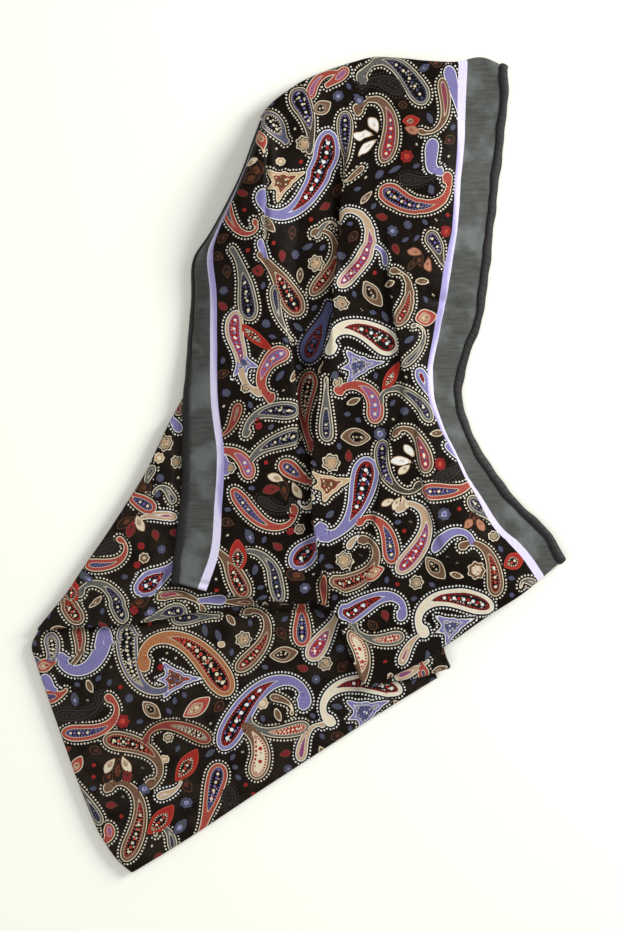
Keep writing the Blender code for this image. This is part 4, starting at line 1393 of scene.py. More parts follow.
class Print:
    """The print on a stretch of cloth, kept for each corner of its cells."""

    def __init__(self, points, flat, band):
        self.points = points
        self.flat = flat
        self.band = band
        cells = (flat.shape[0] - 1, flat.shape[1] - 1)
        self.best = np.full(cells, FAR)
        self.edge = np.zeros((*cells, 4, 3))
        self.edge[..., 1] = FAR
        self.edge[..., 2] = corners_of(band)
        self.core = np.zeros((*cells, 4, 3))
        self.style = np.full(cells, "ghost", dtype=object)

    def place_of(self, pixel_x, pixel_y):
        """Place on the flat cloth that shows at a place on the photograph."""
        x, y = to_plan(pixel_x, pixel_y)
        gap = np.hypot(self.points[..., 0] - x, self.points[..., 1] - y)
        near = gap < gap.min() + PLACE_REACH
        height = np.where(near, self.points[..., 2], -math.inf)
        row, column = np.unravel_index(height.argmax(), height.shape)
        lift = np.array([x, y]) - self.points[row, column, :2]
        return self.flat[row, column] + np.clip(lift, -PLACE_LIFT, PLACE_LIFT)

    def block_round(self, outline):
        """Which points an outline may reach, and the block of the grid with them all."""
        low = outline.min(axis=0) - SEEK
        high = outline.max(axis=0) + SEEK
        near = np.all((self.flat > low) & (self.flat < high), axis=-1)
        block = []
        for axis in (1, 0):
            rows = np.flatnonzero(near.any(axis=axis))
            if len(rows) == 0 or rows[-1] == rows[0]:
                return near, None
            block.append(slice(rows[0], rows[-1] + 1))
        return near, tuple(block)

    def stamp(self, middle, style, outline, spine=None, width=None, radius=None):
        """Puts one motif on the cells that it is nearest to."""
        outline = evenly(outline, OUTLINE_STEP) + middle
        near, block = self.block_round(outline)
        if block is None:
            return
        taken = near[block].reshape(-1)
        places = self.flat[block].reshape(-1, 2)[taken]
        gap, index, share, _ = nearest_on(places, outline, True)
        inner = inside_outline(outline, places)
        pitch = STYLES[style].pitch
        core = np.zeros((len(taken), 3))
        if spine is None:
            core[taken] = round_middle(places, middle, pitch, radius)
        else:
            core[taken], in_body = along_spine(places, middle, spine, width)
            inner = inner | in_body
        run, count = dot_run(outline)
        distance = np.full(len(taken), FAR)
        distance[taken] = gap * np.where(inner, -1.0, 1.0)
        along = np.zeros(len(taken))
        along[taken] = run[index] + share * (run[index + 1] - run[index])

        shape = near[block].shape
        cells = tuple(slice(part.start, part.stop - 1) for part in block)
        at_corners = corners_of(distance.reshape(shape))
        depth = at_corners.mean(axis=2)
        wins = depth < self.best[cells]
        turns = unwound(corners_of(along.reshape(shape)), count)
        arms = corners_of(core.reshape(*shape, 3))
        if spine is None:
            arms[..., 0] = unwound(arms[..., 0], BEADS_ROUND * pitch)
        self.best[cells] = np.where(wins, depth, self.best[cells])
        self.edge[cells][wins, :, 0] = turns[wins]
        self.edge[cells][wins, :, 1] = at_corners[wins]
        self.core[cells][wins] = arms[wins]
        self.style[cells][wins] = style

    def lay(self, paisleys, small):
        """Puts the charted motifs on the cloth."""
        for style, x, y, length, half, turn, bend in paisleys:
            shape = paisley(style, length * PIXEL, half * PIXEL, turn, bend)
            self.stamp(self.place_of(x, y), style, *shape)
        for kind, style, x, y, length, half, turn in small:
            self.lay_small(self.place_of(x, y), kind, style, length, half, turn)

    def lay_small(self, middle, kind, style, length, half, turn):
        """Puts one leaf, petal, star or rosette on the cloth."""
        if kind in LEAF_FORMS:
            self.stamp(middle, style, *leaf(kind, length * PIXEL, half * PIXEL, turn))
        else:
            outline = radial(kind, length * PIXEL, half * PIXEL, turn)
            self.stamp(middle, style, outline, radius=half * PIXEL)

    def fill_gaps(self, seed):
        """Sets small flowers and leaves where the charted motifs leave room."""
        chance = np.random.default_rng(seed)
        middles = corners_of(self.flat).mean(axis=2)
        band = corners_of(self.band).mean(axis=2)
        for turn in range(FILLER_MOST):
            kind, style, length, half, gap = FILLERS[turn % len(FILLERS)]
            room = np.flatnonzero((self.best > gap) & (band < -BORDER_ROOM))
            if not len(room):
                if gap <= min(row[4] for row in FILLERS):
                    break
                continue
            pick = room[chance.integers(len(room))]
            row, column = np.unravel_index(pick, self.best.shape)
            way = chance.uniform(0.0, 360.0)
            self.lay_small(middles[row, column], kind, style, length, half, way)


def linear(colour):
    """A colour as it looks, as the light that it sends back."""
    part = np.array(tuple(colour), float)
    return np.where(part <= 0.04045, part / 12.92, ((part + 0.055) / 1.055) ** 2.4)


def paint(colour):
    """A colour as it looks, for a colour socket."""
    return (*linear(colour), 1.0)


def add_piece(name, points, faces, material):
    """Makes a piece's object at the origin, its points given in millimetres."""
    mesh = bpy.data.meshes.new(name)
    placed = (np.asarray(points, float) - (*CENTRE, 0.0)) * MM
    mesh.from_pydata(placed.tolist(), [], [list(map(int, face)) for face in faces])
    mesh.materials.append(material)
    mesh.shade_smooth()
    item = bpy.data.objects.new(name, mesh)
    bpy.context.scene.collection.objects.link(item)
    return item


def keep_layer(mesh, name, kind, domain, values):
    """Keeps values on a mesh for its material to read."""
    layer = mesh.attributes.new(name, kind, domain)
    field = "color" if kind == "FLOAT_COLOR" else "vector"
    layer.data.foreach_set(field, values.astype(np.float32).ravel())


def set_flat(mesh, flat):
    """Keeps where the cloth lies on the flat print, for the weave."""
    place = np.concatenate([flat, np.zeros((len(flat), 1))], axis=1)
    keep_layer(mesh, "flat", "FLOAT_VECTOR", "POINT", place)


def set_bake(mesh, flat):
    """Lays the piece out flat within a square, as its UV map."""
    vertex = np.zeros(len(mesh.loops), int)
    mesh.loops.foreach_get("vertex_index", vertex)
    low = flat.min(axis=0)
    size = (flat.max(axis=0) - low).max()
    laid = (flat - low) / size * 0.98 + 0.01
    bake = mesh.uv_layers.new(name="OFBake")
    bake.data.foreach_set("uv", laid[vertex].astype(np.float32).ravel())


def set_print(mesh, cloth):
    """Writes the print on the mesh's corners and faces."""
    keep_layer(mesh, "edge", "FLOAT_VECTOR", "CORNER", cloth.edge)
    keep_layer(mesh, "core", "FLOAT_VECTOR", "CORNER", cloth.core)
    number = {style: index for index, style in enumerate(STYLES)}
    picked = np.array([number[style] for style in cloth.style.ravel()])
    for name, tone, carried, most in TONES:
        table = np.ones((len(STYLES), 4))
        for index, style in enumerate(STYLES.values()):
            table[index, :3] = linear(getattr(style, tone))
            table[index, 3] = getattr(style, carried) / most
        keep_layer(mesh, name, "FLOAT_COLOR", "FACE", table[picked])


class Bench:
    """Adds nodes to one tree and links them."""

    def __init__(self, tree):
        self.tree = tree
        self.nodes = tree.nodes

    def add(self, kind, **settings):
        """A new node, with its settings."""
        node = self.nodes.new(kind)
        for name, value in settings.items():
            setattr(node, name, value)
        return node

    def join(self, value, socket):
        """Links a socket to another, or sets its value."""
        if isinstance(value, bpy.types.NodeSocket):
            self.tree.links.new(value, socket)
        else:
            socket.default_value = value

    def maths(self, operation, *values):
        """The result of a maths node."""
        node = self.add("ShaderNodeMath", operation=operation)
        for index, value in enumerate(values):
            self.join(value, node.inputs[index])
        return node.outputs[0]

    def times(self, first, second):
        """The product of two values."""
        return self.maths("MULTIPLY", first, second)

    def less(self, first, second):
        """The first value less the second."""
        return self.maths("SUBTRACT", first, second)

    def above(self, value, level, soft=0.12):
        """One where the value is over the level, with a soft step."""
        node = self.add("ShaderNodeMapRange", interpolation_type="SMOOTHSTEP")
        self.join(value, node.inputs["Value"])
        if isinstance(level, bpy.types.NodeSocket):
            self.join(self.less(level, soft), node.inputs["From Min"])
            self.join(self.maths("ADD", level, soft), node.inputs["From Max"])
        else:
            node.inputs["From Min"].default_value = level - soft
            node.inputs["From Max"].default_value = level + soft
        return node.outputs["Result"]

    def below(self, value, level, soft=0.12):
        """One where the value is under the level, with a soft step."""
        return self.less(1.0, self.above(value, level, soft))

    def mix(self, share, first, second, blend="MIX"):
        """A mix of two colours."""
        node = self.add("ShaderNodeMix", data_type="RGBA", blend_type=blend)
        self.join(share, node.inputs["Factor"])
        self.join(first, node.inputs[6])
        self.join(second, node.inputs[7])
        return node.outputs[2]

    def split(self, vector):
        """A vector's three parts."""
        node = self.add("ShaderNodeSeparateXYZ")
        self.join(vector, node.inputs[0])
        return node.outputs

    def attribute(self, name):
        """The node that reads one of the mesh's own layers."""
        return self.add("ShaderNodeAttribute", attribute_name=name)

    def noise(self, vector, scale, detail=2.0, stretch=None):
        """Noise on a vector, which may be stretched first."""
        if stretch:
            mapping = self.add("ShaderNodeMapping")
            mapping.inputs["Scale"].default_value = stretch
            self.join(vector, mapping.inputs["Vector"])
            vector = mapping.outputs["Vector"]
        node = self.add("ShaderNodeTexNoise")
        node.inputs["Scale"].default_value = scale
        node.inputs["Detail"].default_value = detail
        self.join(vector, node.inputs["Vector"])
        return node.outputs["Fac"]

    def ring(self, along, across, spacing):
        """Distance to the nearest of a row of points along a line."""
        part = self.maths("FRACT", along)
        part = self.less(part, 0.5)
        part = self.times(part, spacing)
        square = self.times(part, part)
        other = self.times(across, across)
        return self.maths("SQRT", self.maths("ADD", square, other))

    def weave(self, cloth, unevenness):
        """The shared weave, laid on the flat cloth."""
        node = self.add("ShaderNodeGroup", node_tree=silk_weave())
        node.inputs["Unevenness"].default_value = unevenness
        self.join(cloth, node.inputs["Cloth"])
        return node.outputs

    def bump(self, height, strength, distance, under=None):
        """The normal of a bump, which may lie on another one."""
        node = self.add("ShaderNodeBump")
        node.inputs["Strength"].default_value = strength
        node.inputs["Distance"].default_value = distance
        self.join(height, node.inputs["Height"])
        if under is not None:
            self.join(under, node.inputs["Normal"])
        return node.outputs["Normal"]


def silk_weave():
    """Fine twill and uneven threads, as a height and a shade, from millimetres of cloth."""
    if "Silk weave" in bpy.data.node_groups:
        return bpy.data.node_groups["Silk weave"]
    group = bpy.data.node_groups.new("Silk weave", "ShaderNodeTree")
    sockets = group.interface
    sockets.new_socket("Cloth", in_out="INPUT", socket_type="NodeSocketVector")
    for name, value in (("Ribs per mm", 1.6), ("Unevenness", 0.5)):
        socket = sockets.new_socket(name, in_out="INPUT", socket_type="NodeSocketFloat")
        socket.default_value = value
    for name in ("Height", "Shade"):
        sockets.new_socket(name, in_out="OUTPUT", socket_type="NodeSocketFloat")
    bench = Bench(group)
    given = bench.add("NodeGroupInput")
    result = bench.add("NodeGroupOutput")
    x, y, _ = bench.split(given.outputs["Cloth"])
    slant = bench.maths("ADD", x, y)
    turns = bench.times(slant, given.outputs["Ribs per mm"])
    turns = bench.times(turns, 2.0 * math.pi)
    rib = bench.maths("MULTIPLY_ADD", bench.maths("SINE", turns), 0.5, 0.5)
    threads = bench.noise(given.outputs["Cloth"], 1.0, 2.0, (0.35, 2.4, 1.0))
    grain = bench.noise(given.outputs["Cloth"], 1.3, 3.0)
    uneven = bench.maths("ADD", threads, grain)
    uneven = bench.times(uneven, given.outputs["Unevenness"])
    height = bench.maths("MULTIPLY_ADD", rib, 0.35, uneven)
    bench.join(height, result.inputs["Height"])
    shade = bench.maths("MULTIPLY_ADD", uneven, 0.9, 0.62)
    bench.join(shade, result.inputs["Shade"])
    return group


class PrintSockets:
    """What the print's layers say at a place, as sockets of a material."""

    def __init__(self, bench):
        edge = bench.attribute("edge").outputs["Vector"]
        self.along, self.distance, self.band = bench.split(edge)
        core = bench.attribute("core").outputs["Vector"]
        self.spine, self.across, self.share = bench.split(core)
        line, fill, core, bead = (bench.attribute(row[0]).outputs for row in TONES)
        self.line, self.fill = line["Color"], fill["Color"]
        self.core, self.bead = core["Color"], bead["Color"]
        self.rim = bench.times(line["Alpha"], MOST_BAND)
        self.dots = fill["Alpha"]
        self.bead_size = bench.times(core["Alpha"], MOST_BEAD)
        self.pitch = bench.times(bead["Alpha"], MOST_PITCH)
        self.flat = bench.attribute("flat").outputs["Vector"]


def ground_specks_and_sheen(bench, cloth, colours):
    """The black ground with its specks, a little mottled with painted sheen, and with patches of
    painted sheen on the stretches under the front.
    """
    # painted sheen: a lighter mottle over the ground, standing in for the silk's grey sheen
    sheen_cloud = bench.noise(cloth.flat, 0.03, 4.0)
    thin = bench.above(sheen_cloud, 0.54)
    ground = bench.mix(thin, paint(colours.ground), paint(colours.sheen_and_slub_ground))
    speck = bench.above(bench.noise(cloth.flat, 0.5, 4.0), 0.6, 0.1)
    ground = bench.mix(bench.times(speck, 0.32), ground, paint(colours.speck))
    # painted sheen: lighter patches on the stretches under the front, standing in for their greyer
    # sheen
    under = bench.below(cloth.band, PLAIN_BELOW, 1.0)
    sheen_patches = bench.times(under, bench.above(bench.noise(cloth.flat, 0.055, 5.0), 0.5, 0.16))
    return bench.mix(bench.times(sheen_patches, 0.75), ground, paint(colours.speck))


def ring_of_dots(bench, cloth, colour):
    """The row of dots round each motif."""
    dot = bench.ring(cloth.along, bench.less(cloth.distance, DOT_AWAY), DOT_SPACING)
    dot = bench.times(bench.below(dot, DOT_RADIUS, 0.14), cloth.dots)
    pale = bench.mix(0.4, cloth.line, paint(WHITE))
    pale = bench.mix(bench.above(cloth.dots, 0.85, 0.05), cloth.line, pale)
    return bench.mix(dot, colour, pale)


def motif_body(bench, cloth, colour):
    """A motif's line, its coloured rim with a fine comb, and its core."""
    colour = bench.mix(bench.below(cloth.distance, 0.0), colour, cloth.line)
    in_rim = bench.below(cloth.distance, -LINE_WIDTH)
    comb = bench.maths("FRACT", bench.times(cloth.along, COMB_TEETH))
    comb = bench.times(bench.above(comb, 0.74, 0.1), 0.26)
    colour = bench.mix(in_rim, colour, bench.mix(comb, cloth.fill, cloth.line))
    rim_end = bench.times(bench.maths("ADD", cloth.rim, LINE_WIDTH), -1.0)
    narrowing = bench.maths("MAXIMUM", bench.less(cloth.share, CORE_SHARE), 0.0)
    narrowing = bench.maths("MULTIPLY_ADD", narrowing, CORE_CLOSE, CORE_LINE)
    core_start = bench.less(rim_end, narrowing)
    in_edge = bench.below(cloth.distance, bench.maths("ADD", core_start, CORE_LINE))
    colour = bench.mix(in_edge, colour, bench.mix(0.35, cloth.line, cloth.fill))
    in_core = bench.below(cloth.distance, core_start)
    return bench.mix(in_core, colour, cloth.core), core_start, in_core


def motif_flowers(bench, cloth, colour, core_start, in_core):
    """Beads round a motif's core, and flowers and flecks down its middle."""
    bead_half = bench.times(cloth.bead_size, 0.52)
    bead_line = bench.less(core_start, bench.times(cloth.bead_size, 0.6))
    half_way = bench.maths("ADD", cloth.along, 0.5)
    small = bench.ring(half_way, bench.less(cloth.distance, bead_line), DOT_SPACING)
    small = bench.times(bench.below(small, bead_half), in_core)
    colour = bench.mix(small, colour, cloth.bead)
    deep = bench.less(core_start, bench.times(cloth.bead_size, 1.2))
    in_deep = bench.below(cloth.distance, deep)
    place = bench.maths("DIVIDE", cloth.spine, cloth.pitch)
    flower = bench.ring(place, cloth.across, cloth.pitch)
    in_flower = bench.below(flower, bench.times(cloth.bead_size, 0.85))
    turns = bench.maths("FRACT", bench.times(place, 0.5))
    flower_tone = bench.mix(bench.above(turns, 0.5, 0.01), cloth.line, cloth.bead)
    flecks = bench.add("ShaderNodeTexVoronoi", feature="F1")
    flecks.inputs["Scale"].default_value = 0.55
    bench.join(cloth.flat, flecks.inputs["Vector"])
    fleck = bench.times(bench.below(flecks.outputs["Distance"], 0.38, 0.06), in_deep)
    pick = bench.split(flecks.outputs["Color"])
    pale_fleck = bench.times(fleck, bench.above(pick[0], 0.7, 0.01))
    tone_fleck = bench.times(fleck, bench.above(pick[1], 0.6, 0.01))
    colour = bench.mix(tone_fleck, colour, cloth.fill)
    colour = bench.mix(bench.times(pale_fleck, 0.85), colour, cloth.line)
    return bench.mix(bench.times(in_flower, in_deep), colour, flower_tone)


def printed_border(bench, cloth, colours):
    """The grey border with its slubs, and the lilac line along it."""
    lilac = bench.below(cloth.band, LILAC_LINE)
    slub = bench.noise(cloth.flat, 1.0, 4.0, (0.07, 0.55, 1.0))
    wash = bench.noise(cloth.flat, 0.035, 3.0)
    light = paint(colours.border_light)
    slub_share = bench.times(bench.above(slub, 0.5, 0.25), 0.35)
    grey = bench.mix(slub_share, paint(colours.border), light)
    grey = bench.mix(bench.above(wash, 0.56, 0.1), grey, light)
    pale = bench.maths("MULTIPLY_ADD", cloth.band, 0.06, bench.noise(cloth.flat, 0.012, 2.0))
    whole = bench.add("ShaderNodeTexCoord").outputs["Object"]
    from_middle = bench.less(bench.split(whole)[1], PALE_MIDDLE)
    from_middle = bench.maths("ABSOLUTE", from_middle)
    at_end = bench.above(from_middle, PALE_REACH, 0.03)
    pale = bench.above(bench.maths("MULTIPLY_ADD", at_end, 0.5, pale), 0.66)
    line = bench.mix(pale, paint(colours.lilac_line), paint(colours.lilac_light))
    return bench.mix(lilac, grey, line)


def printed_silk(colours):
    """Silk twill with the paisley print, drawn from each piece's own layers."""
    if "paisley_silk" in bpy.data.materials:
        return bpy.data.materials["paisley_silk"]
    material = bpy.data.materials.new("paisley_silk")
    material.use_nodes = True
    bench = Bench(material.node_tree)
    shader = bench.nodes["Principled BSDF"]
    cloth = PrintSockets(bench)
    weave = bench.weave(cloth.flat, 0.45)
    colour = ground_specks_and_sheen(bench, cloth, colours)
    colour = ring_of_dots(bench, cloth, colour)
    colour, core_start, in_core = motif_body(bench, cloth, colour)
    colour = motif_flowers(bench, cloth, colour, core_start, in_core)
    on_border = bench.above(cloth.band, 0.0)
    colour = bench.mix(on_border, colour, printed_border(bench, cloth, colours))
    worn = bench.mix(1.0, colour, weave["Shade"], "MULTIPLY")
    bench.join(worn, shader.inputs["Base Color"])
    shader.inputs["Roughness"].default_value = 0.5
    shader.inputs["Specular IOR Level"].default_value = 0.07
    crinkle = bench.bump(bench.noise(cloth.flat, 0.075, 3.0), 0.6, 0.0016)
    fine = bench.bump(weave["Height"], 0.25, 0.00012, crinkle)
    bench.join(fine, shader.inputs["Normal"])
    return material


def hem_silk(colours):
    """Black silk rolled tight, with its stitches as shallow dents."""
    if "rolled_silk" in bpy.data.materials:
        return bpy.data.materials["rolled_silk"]
    material = bpy.data.materials.new("rolled_silk")
    material.use_nodes = True
    bench = Bench(material.node_tree)
    shader = bench.nodes["Principled BSDF"]
    flat = bench.attribute("flat").outputs["Vector"]
    weave = bench.weave(flat, 0.6)
    slub = bench.noise(flat, 1.0, 3.0, (0.5, 0.25, 1.0))
    thin = bench.above(slub, 0.55)
    colour = bench.mix(thin, paint(colours.hem), paint(colours.sheen_and_slub_ground))
    worn = bench.mix(1.0, colour, weave["Shade"], "MULTIPLY")
    bench.join(worn, shader.inputs["Base Color"])
    shader.inputs["Roughness"].default_value = 0.62
    shader.inputs["Specular IOR Level"].default_value = 0.35
    along, around, _ = bench.split(flat)
    slant = bench.maths("MULTIPLY_ADD", around, 0.35, along)
    dent = bench.maths("FRACT", bench.times(slant, STITCHES_PER_MM))
    dent = bench.above(bench.maths("ABSOLUTE", bench.less(dent, 0.5)), 0.07, 0.05)
    height = bench.maths("MULTIPLY_ADD", weave["Height"], 0.2, dent)
    bench.join(bench.bump(height, 0.5, 0.0004), shader.inputs["Normal"])
    return material


def coarse(surface, key, noses, radius):
    """A stretch's grid as coarse as in the solids."""
    return sheet_points(surface, COARSE[key], noses, radius, COARSE_NOSE)


def stretches():
    """The surface of each stretch under the front, and the free height under all."""
    ceiling = Ceiling()
    front = coarse(front_surface, "front", FRONT_FOLDS, FRONT_NOSES)
    ceiling.add_wall(front)
    for side, part in ((-1, front[:, : -COARSE_NOSE - 1]), (1, front)):
        ceiling.add(refined(hem_rings(part, side)[0]))
    surfaces = {}
    for key, row in STRETCHES.items():
        surfaces[key] = plain_surface(row, Ceiling(ceiling.map.copy()))
        ceiling.add_wall(coarse(surfaces[key], key, row.folds, EVEN_NOSE))
    return surfaces, ceiling


def border_place(points, share):
    """Distance of each point past the inner line of its border, in millimetres."""
    steps = np.linalg.norm(np.diff(points, axis=0), axis=-1)
    run = np.concatenate([np.zeros((1, points.shape[1])), np.cumsum(steps, axis=0)])
    place = np.zeros(points.shape[:2])
    for row in range(points.shape[1]):
        left = np.interp(BORDER_PART, share, run[:, row]) - run[:, row]
        right = run[:, row] - np.interp(1.0 - BORDER_PART, share, run[:, row])
        y = points[:, row, 1]
        place[:, row] = np.maximum(banded(LEFT_BAND, y, left), banded(RIGHT_BAND, y, right))
    return place


def banded(rows, y, place):
    """The border's place moved by its table, with its lilac line at full width."""
    ys, moved, lilac = np.array(rows).T
    place = place - np.interp(y, ys, moved)
    wide = np.interp(y, ys, lilac)
    inside = place * LILAC_LINE / wide
    return np.where(place < 0.0, place, np.where(place < wide, inside, place - wide + LILAC_LINE))


def cloth_piece(name, points, flat, cloth, colours):
    """A stretch of cloth as an open sheet, with its print on it."""
    faces = corners_of(np.arange(points[..., 0].size).reshape(points.shape[:2])).reshape(-1, 4)
    item = add_piece(name, points.reshape(-1, 3), faces, printed_silk(colours))
    set_flat(item.data, flat.reshape(-1, 2))
    set_bake(item.data, flat.reshape(-1, 2))
    set_print(item.data, cloth)
    return item


def front_grid(sizes, creases):
    """The front's grid with its creases and the lean of its folds, and its plan."""
    points = sheet_points(front_surface, FINE["front"], FRONT_FOLDS, FRONT_NOSES, FINE_NOSE)
    plan = unroll(points, points[..., :2], FRONT_FOLDS)
    share, _ = spread_rows(FINE["front"][0], False, False, FINE_NOSE)
    inner = smooth(share / CREASE_RIM) * smooth((1.0 - share) / CREASE_RIM)
    x, y = points[..., 0].copy(), points[..., 1].copy()
    points[..., 2] += crease_height(creases, x, y) * inner[:, None] * sizes.creases
    points[..., 0] += lap_shift(x, y) * sizes.lean
    return points, plan, share


def make_front(sizes, colours):
    """The top stretch, with its borders, its print and its small creases."""
    points, plan, share = front_grid(sizes, FRONT_CREASES)
    flat = flat_print(points, plan)
    cloth = Print(points, flat, border_place(points, share))
    cloth.lay(FRONT_PAISLEYS, FRONT_SMALL)
    cloth.fill_gaps(FRONT_SEED)
    return cloth_piece("front_cloth", points, flat, cloth, colours)


def make_stretch(key, scene):
    """A stretch that lies under others and has no border in sight."""
    row = STRETCHES[key]
    surfaces, _ = stretches()
    points = sheet_points(surfaces[key], FINE[key], row.folds, EVEN_NOSE, FINE_NOSE)
    plan = unroll(points, points[..., :2], row.folds)
    x, y = points[..., 0].copy(), points[..., 1].copy()
    points[..., 2] += crease_height(row.creases, x, y) * scene.cravat_sizes.creases
    flat = flat_print(points, plan)
    cloth = Print(points, flat, np.full(points.shape[:2], CORNER_PLAIN))
    cloth.lay(row.paisleys, row.small)
    cloth.fill_gaps(row.seed)
    return cloth_piece(key + "_cloth", points, flat, cloth, scene.cravat_colours)


def hem_rings(points, side):
    """Rings of the rolled hem on one free side of the front's grid, and its run."""
    edge, inside = (points[0], points[1]) if side < 0 else (points[-1], points[-2])
    along = np.gradient(edge, axis=0)
    up = unit(np.cross(unit(edge - inside), along) * -side)
    across = unit(np.cross(up, along) * -side)
    across = across * np.sign(np.sum(across * (edge - inside), axis=1, keepdims=True))
    steps = np.linalg.norm(np.diff(edge, axis=0), axis=1)
    run = np.concatenate([[0.0], np.cumsum(steps)])
    roll = 1.0 + 0.07 * np.sin(run * 0.21) + 0.06 * np.sin(run * 0.083 + side)
    sway = HEM_SWAY * (np.sin(run * 0.16 + side) + 0.7 * np.sin(run * 0.37))
    away = HEM_WIDTH / 2 - HEM_LAP + sway[:, None]
    centre = edge + across * away - up * (WALL / 2 - HEM_RISE)
    rings = []
    for step in range(HEM_SIDES):
        angle = 2.0 * math.pi * step / HEM_SIDES
        wide = across * math.cos(angle) * HEM_WIDTH / 2 * roll[:, None]
        tall = up * math.sin(angle) * HEM_HEIGHT / 2
        rings.append(centre + wide + tall)
    rings = np.stack(rings, axis=1)
    rings[..., 2] = np.maximum(rings[..., 2], TABLE_GAP)
    return rings, run


def make_hem(name, points, side, colours):
    """A rolled hem along one free side of the front's grid."""
    rings, run = hem_rings(points, side)
    count = len(rings)
    index = np.arange(count * HEM_SIDES).reshape(count, HEM_SIDES)
    after = np.roll(index, -1, axis=1)
    faces = np.stack([index[:-1], after[:-1], after[1:], index[1:]], axis=2)
    faces = [list(face) for face in faces.reshape(-1, 4)]
    faces += [list(index[0, ::-1]), list(index[-1])]
    if side < 0:
        faces = [face[::-1] for face in faces]
    item = add_piece(name, rings.reshape(-1, 3), faces, hem_silk(colours))
    around = np.linspace(0.0, math.pi * (HEM_WIDTH + HEM_HEIGHT) / 2, HEM_SIDES + 1)[:-1]
    flat = np.stack(np.broadcast_arrays(run[:, None], around[None, :]), axis=2)
    set_flat(item.data, flat.reshape(-1, 2))
    return item


def inset_points(outline, distance):
    """The closed outline moved in by a distance."""
    along = unit(np.roll(outline, -1, axis=0) - np.roll(outline, 1, axis=0))
    inward = np.stack([along[:, 1], -along[:, 0]], axis=1)
    return outline + inward * distance


def make_hidden(colours):
    """The hidden layers: folds one on another round the rim, and a soft top."""
    _, ceiling = stretches()
    rows = PILE_EDGE + PILE_EDGE[:1]
    rim = read_curve(rows, np.linspace(0.0, 1.0, RIM_POINTS + 1)[:-1])
    outline, lobes, depth = rim[:, :2], rim[:, 2], rim[:, 3]
    rings = []
    for share in np.linspace(0.0, 1.0, RIM_RINGS):
        layer = (share * RIM_LAYERS) % 1.0 if share < 1.0 else 0.0
        plan = inset_points(outline, LAYER_INSET - LAYER_BULGE * math.sqrt(math.sin(layer * math.pi)))
        free = ceiling.read(plan[:, 0], plan[:, 1]) - LAYER_GAP
        height = np.minimum(lobes, np.maximum(free, CORE_LEAST)) * share
        rings.append(np.concatenate([plan, height[:, None]], axis=1))
    inner = inset_points(outline, depth[:, None])
    rings.append(np.concatenate([inner, core_top(inner, ceiling)[:, None]], axis=1))
    points = [tuple(row) for ring in rings for row in ring]
    faces = []
    for level in range(len(rings) - 1):
        for i in range(RIM_POINTS):
            after = (i + 1) % RIM_POINTS
            low, high = level * RIM_POINTS, (level + 1) * RIM_POINTS
            faces.append([low + i, high + i, high + after, low + after])
    faces.append(list(range(RIM_POINTS)))
    fill_top(points, faces, inner, (len(rings) - 1) * RIM_POINTS, ceiling)
    item = add_piece("hidden_folds", points, faces, printed_silk(colours))
    places = np.array(points)
    flat = places[:, :2] + places[:, 2:] * RIM_SLANT
    set_flat(item.data, flat)
    set_bake(item.data, flat)
    edge = np.tile((0.0, FAR, CORNER_PLAIN), (len(item.data.loops), 1))
    keep_layer(item.data, "edge", "FLOAT_VECTOR", "CORNER", edge)
    return item


def core_top(plan, ceiling):
    """Height of the hidden layers' top, as high as the walls above allow."""
    free = ceiling.read(plan[:, 0], plan[:, 1]) - LAYER_GAP - CORE_SAG
    return np.clip(free, CORE_LEAST, CORE_MOST)


def fill_top(points, faces, inner, start, ceiling):
    """Spans the inner ring with even points, joined by Delaunay triangles."""
    low, high = inner.min(axis=0), inner.max(axis=0)
    rows = [np.arange(low[axis], high[axis], CORE_STEP) for axis in (0, 1)]
    places = np.stack([part.ravel() for part in np.meshgrid(*rows)], axis=1)
    away = np.hypot(*(places[:, None, :] - inner[None, :, :]).transpose(2, 0, 1)).min(axis=1)
    spare = places[inside_outline(inner, places) & (away > CORE_STEP * CORE_CLEAR)]
    verts = [tuple(map(float, row)) for row in (*inner, *spare)]
    edges = [(i, (i + 1) % len(inner)) for i in range(len(inner))]
    result = delaunay_2d_cdt(verts, edges, [], 1, DELAUNAY_REACH)
    plan = np.array([tuple(v) for v in result[0]])
    heights = core_top(plan, ceiling)
    index = {}
    for number, place in enumerate(plan):
        ring = [k for k in result[3][number] if k < len(inner)]
        if ring:
            index[number] = start + ring[0]
        else:
            index[number] = len(points)
            points.append((place[0], place[1], heights[number]))
    for triangle in result[2]:
        faces.append([index[k] for k in triangle])


def make_table(colours):
    """The pale table under the cravat."""
    bpy.ops.mesh.primitive_plane_add(size=TABLE_SIZE, location=(0.0, 0.0, 0.0))
    table = bpy.context.object
    table.name = "table"
    bpy.ops.object.transform_apply(location=True, rotation=True, scale=True)
    material = bpy.data.materials.new("pale_table")
    material.use_nodes = True
    shader = material.node_tree.nodes["Principled BSDF"]
    shader.inputs["Base Color"].default_value = paint(colours.table)
    shader.inputs["Roughness"].default_value = 0.9
    shader.inputs["Specular IOR Level"].default_value = 0.1
    table.data.materials.append(material)


def make_lights(scene):
    """A window light, a soft fill and a pale room, all aimed at the origin."""
    for name, power, size, place in LIGHTS:
        light = bpy.data.lights.new(name, "AREA")
        light.energy = power
        light.size = size
        light.shape = "DISK"
        item = bpy.data.objects.new(name, light)
        scene.collection.objects.link(item)
        item.location = place
        item.rotation_mode = "QUATERNION"
        item.rotation_quaternion = (-Vector(place)).to_track_quat("-Z", "Y")
    world = bpy.data.worlds.new("studio_air")
    world.use_nodes = True
    sky = world.node_tree.nodes["Background"]
    sky.inputs["Color"].default_value = (1.0, 1.0, 0.985, 1.0)
    sky.inputs["Strength"].default_value = 0.44
    scene.world = world
    scene.view_settings.view_transform = "Standard"


